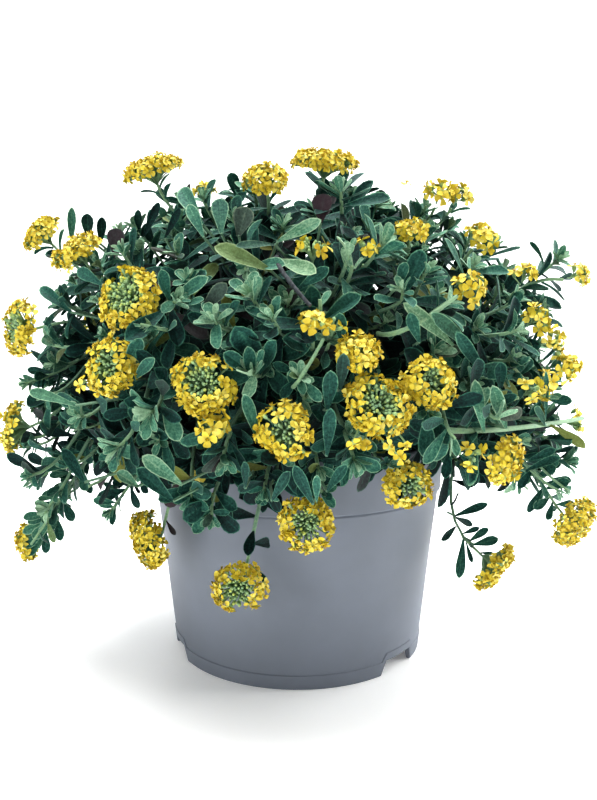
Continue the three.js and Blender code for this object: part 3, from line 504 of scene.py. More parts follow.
class Surface:
    """A material in the making: a node tree, and a short call for each kind of node that the finishes share."""

    def __init__(self, name: str) -> None:
        """Starts a material that has a name and no nodes.

        Args:
            name: the material's name.
        """
        self.material = bpy.data.materials.new(name)
        self.material.use_nodes = True
        self.tree = self.material.node_tree
        self.tree.nodes.clear()

    def trait(self, name: str) -> Socket:
        """The value of one of the mesh's attributes."""
        return put(self.tree, "ShaderNodeAttribute", {"attribute_name": name}).outputs["Fac"]

    def noise(self, size: float, detail: float = 2.0, roughness: float = 0.5, upright: float = 1.0) -> Socket:
        """Noise on Object coordinates.

        Args:
            size: the size of its features in millimetres.
            detail: how many finer layers it has.
            roughness: how strong each layer is beside the one before.
            upright: its scale along Z, below 1 to draw it out upwards.

        Returns:
            The noise's value.
        """
        place = put(self.tree, "ShaderNodeTexCoord").outputs["Object"]
        if upright != 1.0:
            place = put(self.tree, "ShaderNodeMapping", {}, {"Vector": place, "Scale": (1.0, 1.0, upright)}).outputs[0]
        return put(self.tree, "ShaderNodeTexNoise", {}, {
            "Vector": place, "Scale": per_millimetre(size), "Detail": detail, "Roughness": roughness}).outputs["Fac"]

    def spread(self, value: Socket, low: float, high: float, least: float, most: float) -> Socket:
        """Lays a value's range from low to high on the range from least to most, and holds it inside."""
        return put(self.tree, "ShaderNodeMapRange", {}, {
            "Value": value, "From Min": low, "From Max": high, "To Min": least, "To Max": most}).outputs["Result"]

    def swing(self, noise: Socket, least: float, most: float) -> Socket:
        """Lays the range that holds nearly all of a noise's values on the range from least to most."""
        return self.spread(noise, *NOISE_RANGE, least, most)

    def maths(self, operation: str, *values: Socket | float) -> Socket:
        """The result of one operation on one or two values."""
        return put(self.tree, "ShaderNodeMath", {"operation": operation}, dict(enumerate(values))).outputs[0]

    def ramp(self, stops: tuple[tuple[float, str], ...], share: Socket) -> Socket:
        """The colour at a share of the way along a ramp of (place, hex colour)."""
        return put(self.tree, "ShaderNodeValToRGB", {"stops": stops}, {"Fac": share}).outputs["Color"]

    def blend(self, share: Socket | float, colour: Socket, other: Socket | str, way: str = "MIX") -> Socket:
        """A colour blended with another by a share, in one of the Mix node's ways."""
        return put(self.tree, "ShaderNodeMix", {"data_type": "RGBA", "blend_type": way}, {
            0: share, 6: colour, 7: other}).outputs[2]

    def finish(self, colour: Socket | str, roughness: Socket | float, relief: Socket, strength: float, depth: float,
               others: dict[str, float | str] | None = None) -> Material:
        """Joins a colour, a roughness and a relief in one shader.

        Args:
            colour: the base colour.
            roughness: the roughness.
            relief: the height that the bump reads.
            strength: how strong the bump is.
            depth: the relief's depth in millimetres.
            others: the shader's other inputs.

        Returns:
            The finished material.
        """
        bump = put(self.tree, "ShaderNodeBump", {}, {"Height": relief, "Strength": strength, "Distance": depth * MM})
        shader = put(self.tree, "ShaderNodeBsdfPrincipled", {}, {
            "Base Color": colour, "Roughness": roughness, "Normal": bump.outputs["Normal"], **(others or {})})
        put(self.tree, "ShaderNodeOutputMaterial", {}, {"Surface": shader.outputs[0]})
        return self.material


@dataclass(frozen=True)
class FeltedLeaf:
    """Leaf skin under a felt of short star-shaped hairs: dull, blue-green, with a soft bloom at grazing angles.

    The hairs stand thickest along the margin, where they show as a thin pale line. They are 0.1 mm apart, and
    are drawn as a speckle of 0.8 mm, which is the finest that the picture shows.
    """

    tones: tuple[tuple[float, str], ...] = (
        (0.0, "#041919"), (0.2, "#0e322e"), (0.45, "#275448"), (0.7, "#4c7962"), (1.0, "#8eaa8d"))
    purple: str = "#38292f"
    olive: str = "#70732f"
    deepest_blush: float = 0.85
    felt_size: float = 0.8
    felt_swing: float = 0.1
    mottle_size: float = 6.0
    mottle_swing: float = 0.06
    pale_margin: float = 0.4
    pale_midrib: float = 0.1
    pale_underside: float = 0.14

    def material(self) -> Material:
        """Builds the material: one ramp from old to young leaf, lighter along the margin and midrib and below.

        Returns:
            The finished material.
        """
        skin = Surface("felted_leaf")
        felt = skin.noise(self.felt_size, roughness=0.6)
        tone = skin.trait("tone")
        for shift in (
                skin.swing(felt, -self.felt_swing, self.felt_swing),
                skin.swing(skin.noise(self.mottle_size, detail=1.0), -self.mottle_swing, self.mottle_swing),
                skin.spread(skin.trait("edge"), 0.82, 0.95, 0.0, self.pale_margin),
                skin.spread(skin.maths("ABSOLUTE", skin.trait("across")), 0.14, 0.03, 0.0, self.pale_midrib),
                skin.spread(skin.trait("under"), 0.0, 1.0, 0.0, self.pale_underside)):
            tone = skin.maths("ADD", tone, shift)
        colour = skin.ramp(self.tones, tone)
        for hue, full in ((self.purple, 1.0), (self.olive, -1.0)):
            colour = skin.blend(skin.spread(skin.trait("blush"), 0.0, full, 0.0, self.deepest_blush), colour, hue)
        colour = skin.blend(1.0, colour, skin.swing(felt, 0.87, 1.15), "MULTIPLY")
        return skin.finish(colour, 0.66, felt, 0.5, 0.3, {"Specular IOR Level": 0.15, "Sheen Weight": 0.04})


@dataclass(frozen=True)
class YoungStem:
    """Young stems, pedicels, calyxes and buds: pale green under fine down, and the buds yellow at their tips."""

    tones: tuple[tuple[float, str], ...] = (
        (0.0, "#2f4839"), (0.35, "#62816a"), (0.6, "#8ba775"), (0.8, "#adb65a"), (1.0, "#cfc03c"))
    down_size: float = 0.7
    down_swing: float = 0.07

    def material(self) -> Material:
        """Builds the material from the tone trait, dulled and roughened by the down.

        Returns:
            The finished material.
        """
        skin = Surface("downy_young_stem")
        down = skin.noise(self.down_size)
        tone = skin.maths("ADD", skin.trait("tone"), skin.swing(down, -self.down_swing, self.down_swing))
        return skin.finish(skin.ramp(self.tones, tone), 0.65, down, 0.3, 0.2, {
            "Specular IOR Level": 0.2, "Sheen Weight": 0.08})


@dataclass(frozen=True)
class Bark:
    """Thin bark of a woody stem: grey-brown, dull, with fine cracks and rings where leaves have fallen."""

    dark: str = "#191d21"
    pale: str = "#3d4347"
    crack_size: float = 1.2

    def material(self) -> Material:
        """Builds the material from noise drawn out along the mostly upright stems.

        Returns:
            The finished material.
        """
        skin = Surface("woody_bark")
        cracks = skin.noise(self.crack_size, detail=4.0, upright=0.35)
        return skin.finish(skin.ramp(((0.35, self.dark), (0.7, self.pale)), cracks), 0.85, cracks, 0.7, 0.5)


@dataclass(frozen=True)
class YellowPetal:
    """Petal skin: bright yellow, satin, deeper at the claw, with orange-brown flecks that are partly those of age and
    partly painted shade between the petals.

    The petal's own veins are 0.3 mm apart and are drawn as a faint streak along it.
    """

    tones: tuple[tuple[float, str], ...] = (
        (0.0, "#a68b25"), (0.35, "#bda72f"), (0.65, "#cbb838"), (1.0, "#d8cb68"))
    claw: str = "#8a8128"
    fleck_and_shade: str = "#8f6c1e"
    fleck_and_shade_size: float = 1.3
    veins: float = 14.0

    def material(self) -> Material:
        """Builds the material from the tone, along and across traits.

        Returns:
            The finished material.
        """
        skin = Surface("yellow_petal")
        grain = skin.noise(self.fleck_and_shade_size, detail=3.0, roughness=0.65)
        colour = skin.ramp(self.tones, skin.maths("ADD", skin.trait("tone"), skin.swing(grain, -0.12, 0.12)))
        colour = skin.blend(skin.spread(skin.trait("along"), 0.4, 0.0, 0.0, 0.6), colour, self.claw)
        # Orange-brown patches where the noise runs high: partly flecks of age, partly painted shade between the
        # petals.
        colour = skin.blend(skin.spread(grain, 0.66, 0.74, 0.0, 0.6), colour, self.fleck_and_shade)
        streaks = skin.maths("SINE", skin.maths("MULTIPLY", skin.trait("across"), self.veins))
        return skin.finish(colour, 0.55, streaks, 0.12, 0.1, {"IOR": 1.4})


@dataclass(frozen=True)
class MouldedPolypropylene:
    """Injection-moulded polypropylene: grey, satin, evenly coloured, with the faint grain of the mould's steel."""

    body: str = "#646a73"
    worn: str = "#6f757f"
    grain_size: float = 1.1
    haze_size: float = 38.0

    def material(self) -> Material:
        """Builds the material: a wide faint haze in the colour and the gloss, and a fine grain in the relief.

        Returns:
            The finished material.
        """
        skin = Surface("moulded_polypropylene")
        haze = skin.noise(self.haze_size, detail=3.0)
        colour = skin.ramp(((0.35, self.body), (0.75, self.worn)), haze)
        return skin.finish(colour, skin.swing(haze, 0.55, 0.65), skin.noise(self.grain_size), 0.06, 0.1, {
            "Specular IOR Level": 0.4})


@dataclass(frozen=True)
class PottingPeat:
    """Moist potting peat: near-black brown crumbs and fibres, quite dull, with paler dry ones on top."""

    dark: str = "#17110d"
    pale: str = "#4d3c2d"
    crumb_size: float = 2.0

    def material(self) -> Material:
        """Builds the material from noise of the size of the crumbs, in its colour and its relief.

        Returns:
            The finished material.
        """
        skin = Surface("potting_peat")
        crumbs = skin.noise(self.crumb_size, detail=5.0, roughness=0.7)
        return skin.finish(skin.ramp(((0.38, self.dark), (0.72, self.pale)), crumbs), 0.95, crumbs, 1.0, 1.2)


@dataclass(frozen=True)
class StudioPaper:
    """Matt background paper, under the pot and up behind it: plain, pale and lit a little through its back."""

    colour: str = "#fcfcfc"
    lit_through: float = 0.14
    tooth_size: float = 2.0

    def material(self) -> Material:
        """Builds the material: one even matt colour with a barely seen tooth, and a faint light of its own.

        Returns:
            The finished material.
        """
        skin = Surface("studio_paper")
        return skin.finish(self.colour, 0.9, skin.noise(self.tooth_size), 0.02, 0.1, {
            "Emission Color": self.colour, "Emission Strength": self.lit_through})


# Pot and soil

@dataclass
class Pot:
    """A 13 cm grower's pot: a tapered wall, a collar that stands proud, a rolled rim and a notched foot."""

    rim_radius: float = 65.0
    rim_height: float = 94.5
    collar_radius: float = 62.5
    collar_height: float = 72.0
    collar_step: float = 0.9
    base_radius: float = 54.5
    wall: float = 1.4
    lip: float = 2.2
    band: float = 0.4
    floor_height: float = 7.0
    floor_thickness: float = 1.6
    notch_height: float = 6.2
    notch_half_angle: float = 11.5
    notch_slope: float = 2.5
    notch_azimuths: tuple[float, ...] = (50.0, 170.0, -70.0)
    notch_fade: float = 14.0
    drain_radius: float = 4.0
    drain_circle: float = 38.0
    sides: int = 216
    ground_room: float = 1.5
    soil_room: float = 2.0
    under_rows: int = 3
    wall_rows: tuple[int, int] = (4, 28)
    inside_rows: int = 5

    def taper(self, height: Array | float) -> Array:
        """The wall's outer radius below the collar, which grows evenly with the height."""
        return self.base_radius + (self.collar_radius - self.base_radius) * height / self.collar_height

    def outer_radius(self, height: Array) -> Array:
        """The pot's outer radius at each height."""
        return np.where(height >= self.collar_height, self.rim_radius, self.taper(height))

    def clears(self, points: Array, margin: float) -> Array:
        """True for each point that keeps a margin from the wall, the soil and the ground.

        Args:
            points: the points, of shape (..., 3).
            margin: the least distance from the wall.

        Returns:
            The truth for each point.
        """
        out = np.hypot(points[..., 0], points[..., 1])
        height = points[..., 2]
        outside = (height > self.rim_height + margin) | (out > self.outer_radius(height) + margin)
        inside = (out < self.collar_radius - self.wall - margin) & (height > Soil.top + self.soil_room)
        return (height > self.ground_room) & (outside | inside)

    def profile(self) -> Array:
        """The turned section as (radius, height), from under the floor round the foot, wall and rim to the floor.

        Returns:
            The section's points in order, of shape (points, 2).
        """
        heights = np.concatenate([[0.6, 3.0, 5.5, 5.85, 6.2, 6.7], np.linspace(9, self.collar_height - 1.1, 16)])
        outside = [(self.taper(z) + (self.band if z < 5.9 else 0.0), z) for z in heights]
        outside += [(self.collar_radius - 0.45, self.collar_height - 0.35)]
        c = self.collar_radius
        z = self.collar_height
        inner = self.taper(self.floor_height + self.floor_thickness) - self.wall
        top = self.rim_height
        rim = self.rim_radius
        hollow, foot, edge = self.base_radius - self.wall, self.base_radius + self.band, rim - self.lip
        collar, floor = c + self.collar_step, self.floor_height + self.floor_thickness
        rows = [(hollow - 3, self.floor_height), (hollow, 6.4), (hollow, 0.3), (hollow + 0.3, 0.0), (foot - 0.3, 0.0),
                (foot, 0.25), *outside, (c + 0.05, z), (collar - 0.2, z + 0.1), (collar + 0.1, z + 0.5),
                (collar + 0.3, z + 6), (collar + 0.8, z + 14), (rim - 0.1, top - 2.2), (rim, top - 1.4),
                (rim - 0.15, top - 0.6), (rim - 0.6, top - 0.1), (rim - 1.1, top), (edge + 0.5, top),
                (edge + 0.05, top - 0.4), (edge - 0.1, top - 1.4), (c - self.wall + self.collar_step, z + 2),
                (inner + 0.5, self.floor_height + 9), (inner, floor + 0.8), (inner - 0.9, floor)]
        return np.array(rows)

    def angles(self) -> Array:
        """The azimuths of the wall's rows, with extra ones at the corners of the notches.

        Returns:
            The azimuths in degrees.
        """
        even = np.arange(self.sides) * 360.0 / self.sides
        steps = np.array([-1.0, 1.0])[:, None] * (self.notch_half_angle - np.array([0.0, 0.08, 1.0])
                                                  * self.notch_slope)
        corners = (np.array(self.notch_azimuths)[:, None] + steps.ravel()) % 360.0
        return np.unique(np.round(np.concatenate([even, corners.ravel()]), 3))

    def foot_lift(self, azimuths: Array) -> Array:
        """How far the foot is cut away at each azimuth: the notch's height, with a short slope at each end."""
        near = turn_between(azimuths[:, None], np.array(self.notch_azimuths)).min(axis=1)
        return self.notch_height * np.clip((self.notch_half_angle - near) / self.notch_slope, 0, 1)

    def build(self, finish: Material) -> None:
        """Turns the section round the axis, lifts its foot at the notches and drills the drain holes.

        Args:
            finish: the pot's finish.
        """
        azimuths = self.angles()
        radius, height = self.profile().T
        share = np.clip(1 - height / self.notch_fade, 0, 1)
        share[:self.under_rows] = np.clip(1 - height[:self.under_rows] / self.floor_height, 0, 1)
        share[-self.inside_rows:] = 0
        lifted = height[:, None] + share[:, None] * self.foot_lift(azimuths)
        wall = np.zeros((len(radius), 1))
        wall[slice(*self.wall_rows)] = 1
        out = radius[:, None] + wall * (self.taper(lifted) - self.taper(height[:, None]))
        turn = np.radians(azimuths)
        rings = np.stack([np.sin(turn) * out, -np.cos(turn) * out, lifted], axis=-1)[None]
        heap = Heap()
        floor = self.floor_height
        heap.add(Sleeves(rings, np.array([[0.0, 0.0, floor]]), np.array([[0.0, 0.0, floor + self.floor_thickness]])))
        piece = heap.piece("grower_pot", finish, "pot", crease=28.0)
        holes = around(np.arange(4) * 90.0, self.drain_circle, floor - 2)
        drill = Heap()
        drill.add(tubes(np.stack([holes, holes + [0, 0, 6]], axis=1), np.full((4, 2), self.drain_radius), 24))
        cut(piece, drill)
        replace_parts(piece, "pot")


def cut(piece: bpy.types.Object, drill: Heap) -> None:
    """Takes the drill's skins out of a piece.

    Args:
        piece: the piece that is cut.
        drill: the skins to take out.
    """
    mesh = bpy.data.meshes.new("drill")
    faces = [face.tolist() for group in (*drill.quads, *drill.triangles) for face in group]
    mesh.from_pydata((np.concatenate(drill.points) * MM).tolist(), [], faces)
    tool = bpy.data.objects.new("drill", mesh)
    bpy.context.scene.collection.objects.link(tool)
    modifier = piece.modifiers.new("drain_holes", "BOOLEAN")
    modifier.operation = "DIFFERENCE"
    modifier.solver = "EXACT"
    modifier.object = tool
    depsgraph = bpy.context.evaluated_depsgraph_get()
    done = bpy.data.meshes.new_from_object(piece.evaluated_get(depsgraph))
    piece.modifiers.clear()
    piece.data = done
    bpy.data.objects.remove(tool)
    bpy.data.meshes.remove(mesh)


@dataclass
class Soil:
    """Potting peat up to a finger's breadth below the rim, slightly crowned, with crumbs lying on it."""

    top: float = 84.0
    crown: float = 1.8
    gap: float = 0.6
    crumbs: int = 520
    crumb_length: Pair = (1.2, 4.5)
    crumb_radius: Pair = (0.5, 1.6)
    waves: tuple[Pair, ...] = ((17, 0.6), (11, 0.45), (7.3, 0.4), (4.9, 0.3), (3.1, 0.25))
    sides: int = 96

    def relief(self, x: Array, y: Array) -> Array:
        """Unevenness of the surface: a sum of sine waves, turned at random.

        Args:
            x: the places along X.
            y: the places along Y.

        Returns:
            The height at each place.
        """
        rng = np.random.default_rng(11)
        height = np.zeros_like(x)
        for size, depth in self.waves:
            for _ in range(3):
                turn, phase = rng.uniform(0, 2 * np.pi, 2)
                height += depth * 0.5 * np.sin((x * np.cos(turn) + y * np.sin(turn)) * 2 * np.pi / size + phase)
        return height

    def build(self, pot: Pot, finish: Material) -> None:
        """Builds the filling, whose top rings run in to the middle over the relief, and the crumbs on it.

        Args:
            pot: the pot that it fills.
            finish: the soil's finish.
        """
        floor = pot.floor_height + pot.floor_thickness + 0.3
        widest = pot.collar_radius - pot.wall - self.gap
        turn = np.arange(self.sides) * 2 * np.pi / self.sides
        level = np.linspace(1.0, 0.03, 34)
        radius = np.concatenate([[pot.taper(floor) - pot.wall - self.gap], widest * np.ones(2), widest * level])
        height = np.concatenate([[floor], [pot.collar_height, self.top - 3.5],
                                 self.top - 1.2 + (self.crown + 1.2) * np.clip(1.1 * (1 - level), 0, 1)])
        x, y = np.sin(turn) * radius[:, None], -np.cos(turn) * radius[:, None]
        loose = (np.arange(len(radius)) > 3)[:, None]
        z = height[:, None] + loose * self.relief(x, y)
        heap = Heap()
        rings = np.stack([x, y, z], axis=-1)[None]
        heap.add(Sleeves(rings, np.array([[0.0, 0.0, floor]]), np.array([[0.0, 0.0, z[-1].mean()]])))
        rng = np.random.default_rng(12)
        spot = around(rng.uniform(0, 360, self.crumbs), widest * np.sqrt(rng.uniform(0, 0.93, self.crumbs)), 0.0)
        spot[:, 2] = self.top - 0.6 + self.crown * (1 - np.hypot(spot[:, 0], spot[:, 1]) / widest)
        spot[:, 2] += self.relief(spot[:, 0], spot[:, 1])
        axis = unit(rng.normal(size=(self.crumbs, 3)))
        crumb = spindles(spot, axis, rng.uniform(*self.crumb_length, self.crumbs),
                         rng.uniform(*self.crumb_radius, self.crumbs), ((0.22, 0.8), (0.7, 1.0)), 5)
        crumb.rings += rng.normal(0, 0.18, crumb.rings.shape)
        heap.add(crumb)
        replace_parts(heap.piece("potting_soil", finish, "soil", crease=70.0), "soil")


# Flower heads

class Habit(Enum):
    """How the florets stand in a head: rows of (inset from the radius, height, tilt in degrees, spacing)."""

    RINGED = ((0.9, -3.0, 76, 3.5), (1.6, -1.4, 54, 3.3), (3.5, 0.1, 30, 3.2))
    FULL = ((1.0, -3.0, 76, 3.5), (1.7, -1.4, 54, 3.2), (3.5, 0.1, 30, 3.2), (5.7, 0.8, 14, 3.3), (8.1, 1.2, 4, 3.4))
    BALL = ((1.9, -6.2, 112, 3.8), (1.1, -3.6, 84, 3.6), (1.6, -1.3, 56, 3.3), (3.5, 0.4, 32, 3.3),
            (6.2, 1.4, 14, 3.4), (8.6, 1.8, 4, 3.5))
    LOOSE = ((1.9, -2.0, 62, 6.6), (4.2, 0.3, 28, 6.2))
    SPARSE = ((1.9, -1.2, 50, 8.0),)


@dataclass
class Florets:
    """Florets as arrays: where each one's heart is, the way it faces, its outward direction and its size."""

    heart: Array
    normal: Array
    outward: Array
    size: Array
    tone: Array
    petal_length: float = 2.22
    petal_width: float = 2.18
    petal_rise: Pair = (0.3, 0.28)
    petal_bend: Pair = (0.5, 0.42)
    petal_cup: Pair = (0.2, 0.2)
    petal_twist: float = 0.25
    stamen_length: Pair = (1.3, 1.8)
    stamen_lean: float = 0.42
    stamen_radius: float = 0.24
    calyx_length: float = 2.2
    calyx_radius: float = 0.75

    def petals(self, rng: Rng) -> Blades:
        """Four petals to a floret, in a cross turned about 45 degrees, rising a little and then bent back.

        Args:
            rng: the source of the disorder.

        Returns:
            The petals, four for each floret in turn.
        """
        count = len(self.heart)
        n = np.repeat(self.normal, 4, axis=0)
        out = np.repeat(self.outward, 4, axis=0)
        psi = (np.repeat(np.pi / 4 + rng.uniform(-0.5, 0.5, count), 4) + np.tile(np.arange(4), count) * np.pi / 2
               + rng.normal(0, 0.07, 4 * count))
        away = turned(psi, out, np.cross(n, out))
        rise = rng.normal(*self.petal_rise, 4 * count)
        size = np.repeat(self.size, 4)
        return Blades(
            anchor=np.repeat(self.heart, 4, axis=0) + 0.2 * away - 0.35 * n,
            ahead=turned(rise, away, n),
            up=turned(rise, n, -away),
            length=self.petal_length * size * rng.uniform(0.88, 1.1, 4 * count),
            width=self.petal_width * size * rng.uniform(0.84, 1.1, 4 * count),
            bend=rng.normal(*self.petal_bend, 4 * count),
            cup=rng.normal(*self.petal_cup, 4 * count),
            twist=rng.normal(0, self.petal_twist, 4 * count),
            tone=np.clip(np.repeat(self.tone, 4) + rng.normal(0, 0.07, 4 * count), 0, 1),
            blush=np.zeros(4 * count),
        )

    def stamens(self, rng: Rng) -> Sleeves:
        """Five stamens to a floret, splayed round its heart, widest at the anther.

        Args:
            rng: the source of the disorder.

        Returns:
            The stamens' skins.
        """
        count = len(self.heart)
        f = np.tile(np.arange(5) * 2 * np.pi / 5, count) + np.repeat(rng.uniform(0, 6, count), 5)
        n = np.repeat(self.normal, 5, axis=0)
        out = np.repeat(self.outward, 5, axis=0)
        lean = self.stamen_lean * turned(f, out, np.cross(n, out))
        base = np.repeat(self.heart, 5, axis=0) - 0.4 * n
        tone = np.array([0.1, 0.1, 0.1, 0.55, 0.05])
        return spindles(base, unit(n + lean), rng.uniform(*self.stamen_length, 5 * count),
                        np.full(5 * count, self.stamen_radius), ((0.78, 1.0),), 3, {"tone": tone, "along": np.ones(5)})

    def calyxes(self) -> Sleeves:
        """A small green cup of sepals behind each floret.

        Returns:
            The cups' skins.
        """
        length = self.calyx_length * self.size
        tone = np.array([0.45] * 5 + [0.55] * 5 + [0.7] * 5 + [0.4, 0.7])
        return spindles(self.heart - (length + 0.1)[:, None] * self.normal, self.normal, length,
                        self.calyx_radius * self.size, ((0.12, 0.5), (0.5, 1.0), (0.9, 0.85)), 5, {"tone": tone})


@dataclass
class Head:
    """A flower head: a low dome of florets on pedicels that spread from the top of its stem round green buds."""

    name: str
    centre: Array
    radius: float
    axis: Array
    habit: Habit
    seed: int
    satellites: tuple[Pair, ...] = ()
    via: Triple | None = None
    pedicel: float = 8.5
    pedicel_spread: float = 4.5
    loose_size: float = 1.32
    cluster: int = 3
    bud_density: float = 2.5
    bud_gap: float = 2.1
    bud_length: Pair = (1.2, 2.0)
    bud_swell: float = 0.38
    bud_profile: tuple[Pair, ...] = ((0.25, 0.85), (0.75, 0.85))
    ripeness: Pair = (0.36, 0.08)
    gap_chance: float = 0.6
    gap_width: Pair = (0.2, 0.42)
    gap_florets: float = 0.2

    def base(self) -> Array:
        """Where the pedicels leave the stem."""
        return self.centre - self.pedicel * self.axis

    def florets(self, rng: Rng) -> Florets:
        """Seats the florets in the habit's rows, each row evenly round the axis with a little disorder.

        Args:
            rng: the source of the disorder.

        Returns:
            The florets.
        """
        e1, e2 = cross_axes(self.axis)
        hearts, normals, outs = [], [], []
        gap, waves = rng.uniform(0, 2 * np.pi), rng.uniform(0, 2 * np.pi, 2)
        gapped = self.habit is Habit.RINGED and rng.uniform() < self.gap_chance
        gap_width = rng.uniform(*self.gap_width) if gapped else 0.0
        for inset, height, tilt, spacing in self.habit.value:
            ring = self.radius - inset
            if ring < 1.4 and hearts:
                continue
            ring = max(ring, 1.6)
            count = max(3, round(2 * np.pi * ring / spacing))
            phi = rng.uniform(0, 6) + np.arange(count) * 2 * np.pi / count + rng.normal(0, 0.13, count)
            turn = np.abs((phi - gap + np.pi) % (2 * np.pi) - np.pi)
            phi = phi[(turn > gap_width) | (rng.uniform(size=count) < self.gap_florets)]
            count = len(phi)
            swell = 0.05 * self.radius * (np.sin(2 * phi + waves[0]) + 0.7 * np.sin(3 * phi + waves[1]) - 0.5)
            radial = turned(phi, e1, e2)
            lean = np.radians(tilt + rng.normal(0, 11, count))[:, None]
            hearts.append(self.centre + (ring + swell + rng.normal(0, 0.35, count))[:, None] * radial
                          + (height + rng.normal(0, 0.5, count))[:, None] * self.axis)
            normals.append(unit(np.cos(lean) * self.axis + np.sin(lean) * radial + rng.normal(0, 0.16, (count, 3))))
            outs.append(radial)
        for direction, distance in self.satellites:
            radial = turned(radians(direction), e1, e2)
            spots = self.centre + distance * radial - 1.5 * self.axis + rng.normal(0, 1.7, (self.cluster, 3))
            hearts.append(spots)
            normals.append(unit(self.axis + 0.3 * radial + rng.normal(0, 0.35, (self.cluster, 3))))
            outs.append(np.tile(radial, (self.cluster, 1)))
        normal = np.concatenate(normals)
        count = len(normal)
        size = self.loose_size if self.habit in (Habit.LOOSE, Habit.SPARSE) else 1.0
        return Florets(np.concatenate(hearts), normal, square_to(np.concatenate(outs), normal),
                       size * rng.uniform(0.88, 1.08, count), np.clip(rng.normal(0.62, 0.15, count), 0, 1))

    def buds(self, rng: Rng) -> tuple[Array, Array, Array]:
        """Seats the green buds in a spiral over the middle: the k-th lies sqrt((k + 0.5)/n) of the way out.

        Args:
            rng: the source of the disorder.

        Returns:
            The buds' feet, directions and lengths.
        """
        e1, e2 = cross_axes(self.axis)
        inset = max(row[0] for row in self.habit.value)
        reach = max(self.radius - inset - self.bud_gap, 1.4)
        count = max(5, round(self.bud_density * reach ** 2))
        k = np.arange(count)
        phi = k * GOLDEN_ANGLE + rng.uniform(0, 6)
        rho = reach * np.sqrt((k + 0.5) / count)
        radial = turned(phi, e1, e2)
        way = unit(self.axis + (0.12 * rho)[:, None] * radial + rng.normal(0, 0.16, (count, 3)))
        foot = self.centre + rho[:, None] * radial + (rng.normal(-2.0, 0.4, count) + 0.12 * rho)[:, None] * self.axis
        foot += rng.normal(0, 0.3, (count, 3))
        return foot, way, rng.uniform(*self.bud_length, count)

    def pedicels(self, ends: Array, ways: Array, rng: Rng) -> Sleeves:
        """Thin stalks on curves that leave along the axis, the inner ones higher up it, and arrive along each way.

        Args:
            ends: where they end.
            ways: the directions in which they arrive.
            rng: the source of the disorder.

        Returns:
            The stalks' skins.
        """
        count = len(ends)
        off = np.linalg.norm(np.cross(ends - self.centre, self.axis), axis=1, keepdims=True)
        rise = self.pedicel_spread * np.clip(1 - off / (0.8 * self.radius), 0, 1)
        base = self.base() + (rise + rng.normal(0, 0.5, (count, 1))) * self.axis
        span = np.linalg.norm(ends - base, axis=1)[:, None]
        corners = np.stack([base, base + 0.35 * span * unit(self.axis + 0.5 * unit(ends - base)),
                            ends - 0.3 * span * ways, ends + 0.3 * ways], axis=1)
        path = bezier(corners, np.tile([0.0, 0.5, 1.0], (count, 1)))
        radius = np.tile([0.4, 0.24, 0.34], (count, 1))
        tone = np.append(np.repeat([0.4, 0.5, 0.55], 3), [0.4, 0.55])
        return tubes(path, radius, 3, {"tone": tone})

    def fill(self, petals: Heap, greens: Heap) -> None:
        """Adds the florets to one heap, and their calyxes, pedicels and buds to the other.

        Args:
            petals: the heap of what is yellow.
            greens: the heap of what is green.
        """
        rng = np.random.default_rng(self.seed)
        florets = self.florets(rng)
        petals.add(florets.petals(rng).sleeves(PETAL))
        petals.add(florets.stamens(rng))
        greens.add(florets.calyxes())
        foot, way, length = self.buds(rng)
        rim = np.linalg.norm(np.cross(foot - self.centre, self.axis), axis=1)
        ripe = np.clip(rng.normal(*self.ripeness, len(foot)) + 0.035 * rim, 0, 0.9)[:, None]
        tone = np.concatenate([np.repeat(ripe + [0.05, 0.12], 5, axis=1), ripe + [0.05, 0.2]], axis=1)
        greens.add(spindles(foot, way, length, self.bud_swell * length, self.bud_profile, 5, {"tone": tone}))
        ends = np.concatenate([florets.heart - florets.calyx_length * florets.size[:, None] * florets.normal, foot])
        greens.add(self.pedicels(ends, np.concatenate([florets.normal, way]), rng))


# The plant

@dataclass(frozen=True)
class Mound:
    """The low dome that the plant fills: an ellipsoid round the pot's axis, whose skirt hangs down."""

    centre: float = 100.0
    radius: float = 121.0
    rise: float = 112.0
    hanging_start: float = 92.0
    hanging_fade: float = 25.0
    shade_start: float = 0.9
    shade_slope: float = 1.3
    deepest_shade: float = 0.55
    top_share: float = 0.985

    def hanging(self, points: Array) -> Array:
        """How far each point hangs below the mound's edge, from 0 to 1."""
        return np.clip((self.hanging_start - points[..., 2]) / self.hanging_fade, 0, 1)

    def depth(self, points: Array) -> Array:
        """How deep in the shade of the mound each point lies, from 0 near its surface to the deepest shade.

        Args:
            points: the points, of shape (points, 3).

        Returns:
            The depth of each point.
        """
        out = np.hypot(points[:, 0], points[:, 1]) / self.radius
        far = np.hypot(out, (points[:, 2] - self.centre) / self.rise)
        return np.clip(self.shade_slope * (self.shade_start - far), 0, self.deepest_shade)

    def growth(self, points: Array) -> Array:
        """The way a stem grows where it reaches each point: out and up over the dome, out and down where it hangs.

        Args:
            points: the points, of shape (..., 3).

        Returns:
            The unit direction at each point.
        """
        flat = points * [1, 1, 0]
        far = np.linalg.norm(flat, axis=-1, keepdims=True) / self.radius
        out = unit(flat)
        rise = np.clip((points[..., 2:] - self.centre) / self.rise, 0, 1)
        rising = unit(out * (1 - 0.75 * rise) + UP * (rise + 0.35))
        falling = unit(out * (0.35 + far * far) - 0.8 * UP)
        hang = self.hanging(points)[..., None]
        return unit(rising * (1 - hang) + falling * hang)

    def places(self, count: int, reach: Array, lowest: float, first: float = 0.0) -> Array:
        """Points spread evenly over the dome at the golden angle, from its top down to the lowest elevation.

        Args:
            count: how many points.
            reach: how far out each one lies, as a share of the dome's radius.
            lowest: the lowest elevation in degrees.
            first: the azimuth in degrees of the first one.

        Returns:
            The points.
        """
        low = np.sin(radians(lowest))
        rise = self.top_share - (self.top_share - low) * (np.arange(count) + 0.5) / count
        level = np.sqrt(1 - rise ** 2)
        azimuth = first + np.degrees(np.arange(count) * GOLDEN_ANGLE)
        return around(azimuth, level * self.radius * reach, self.centre + rise * self.rise * reach)


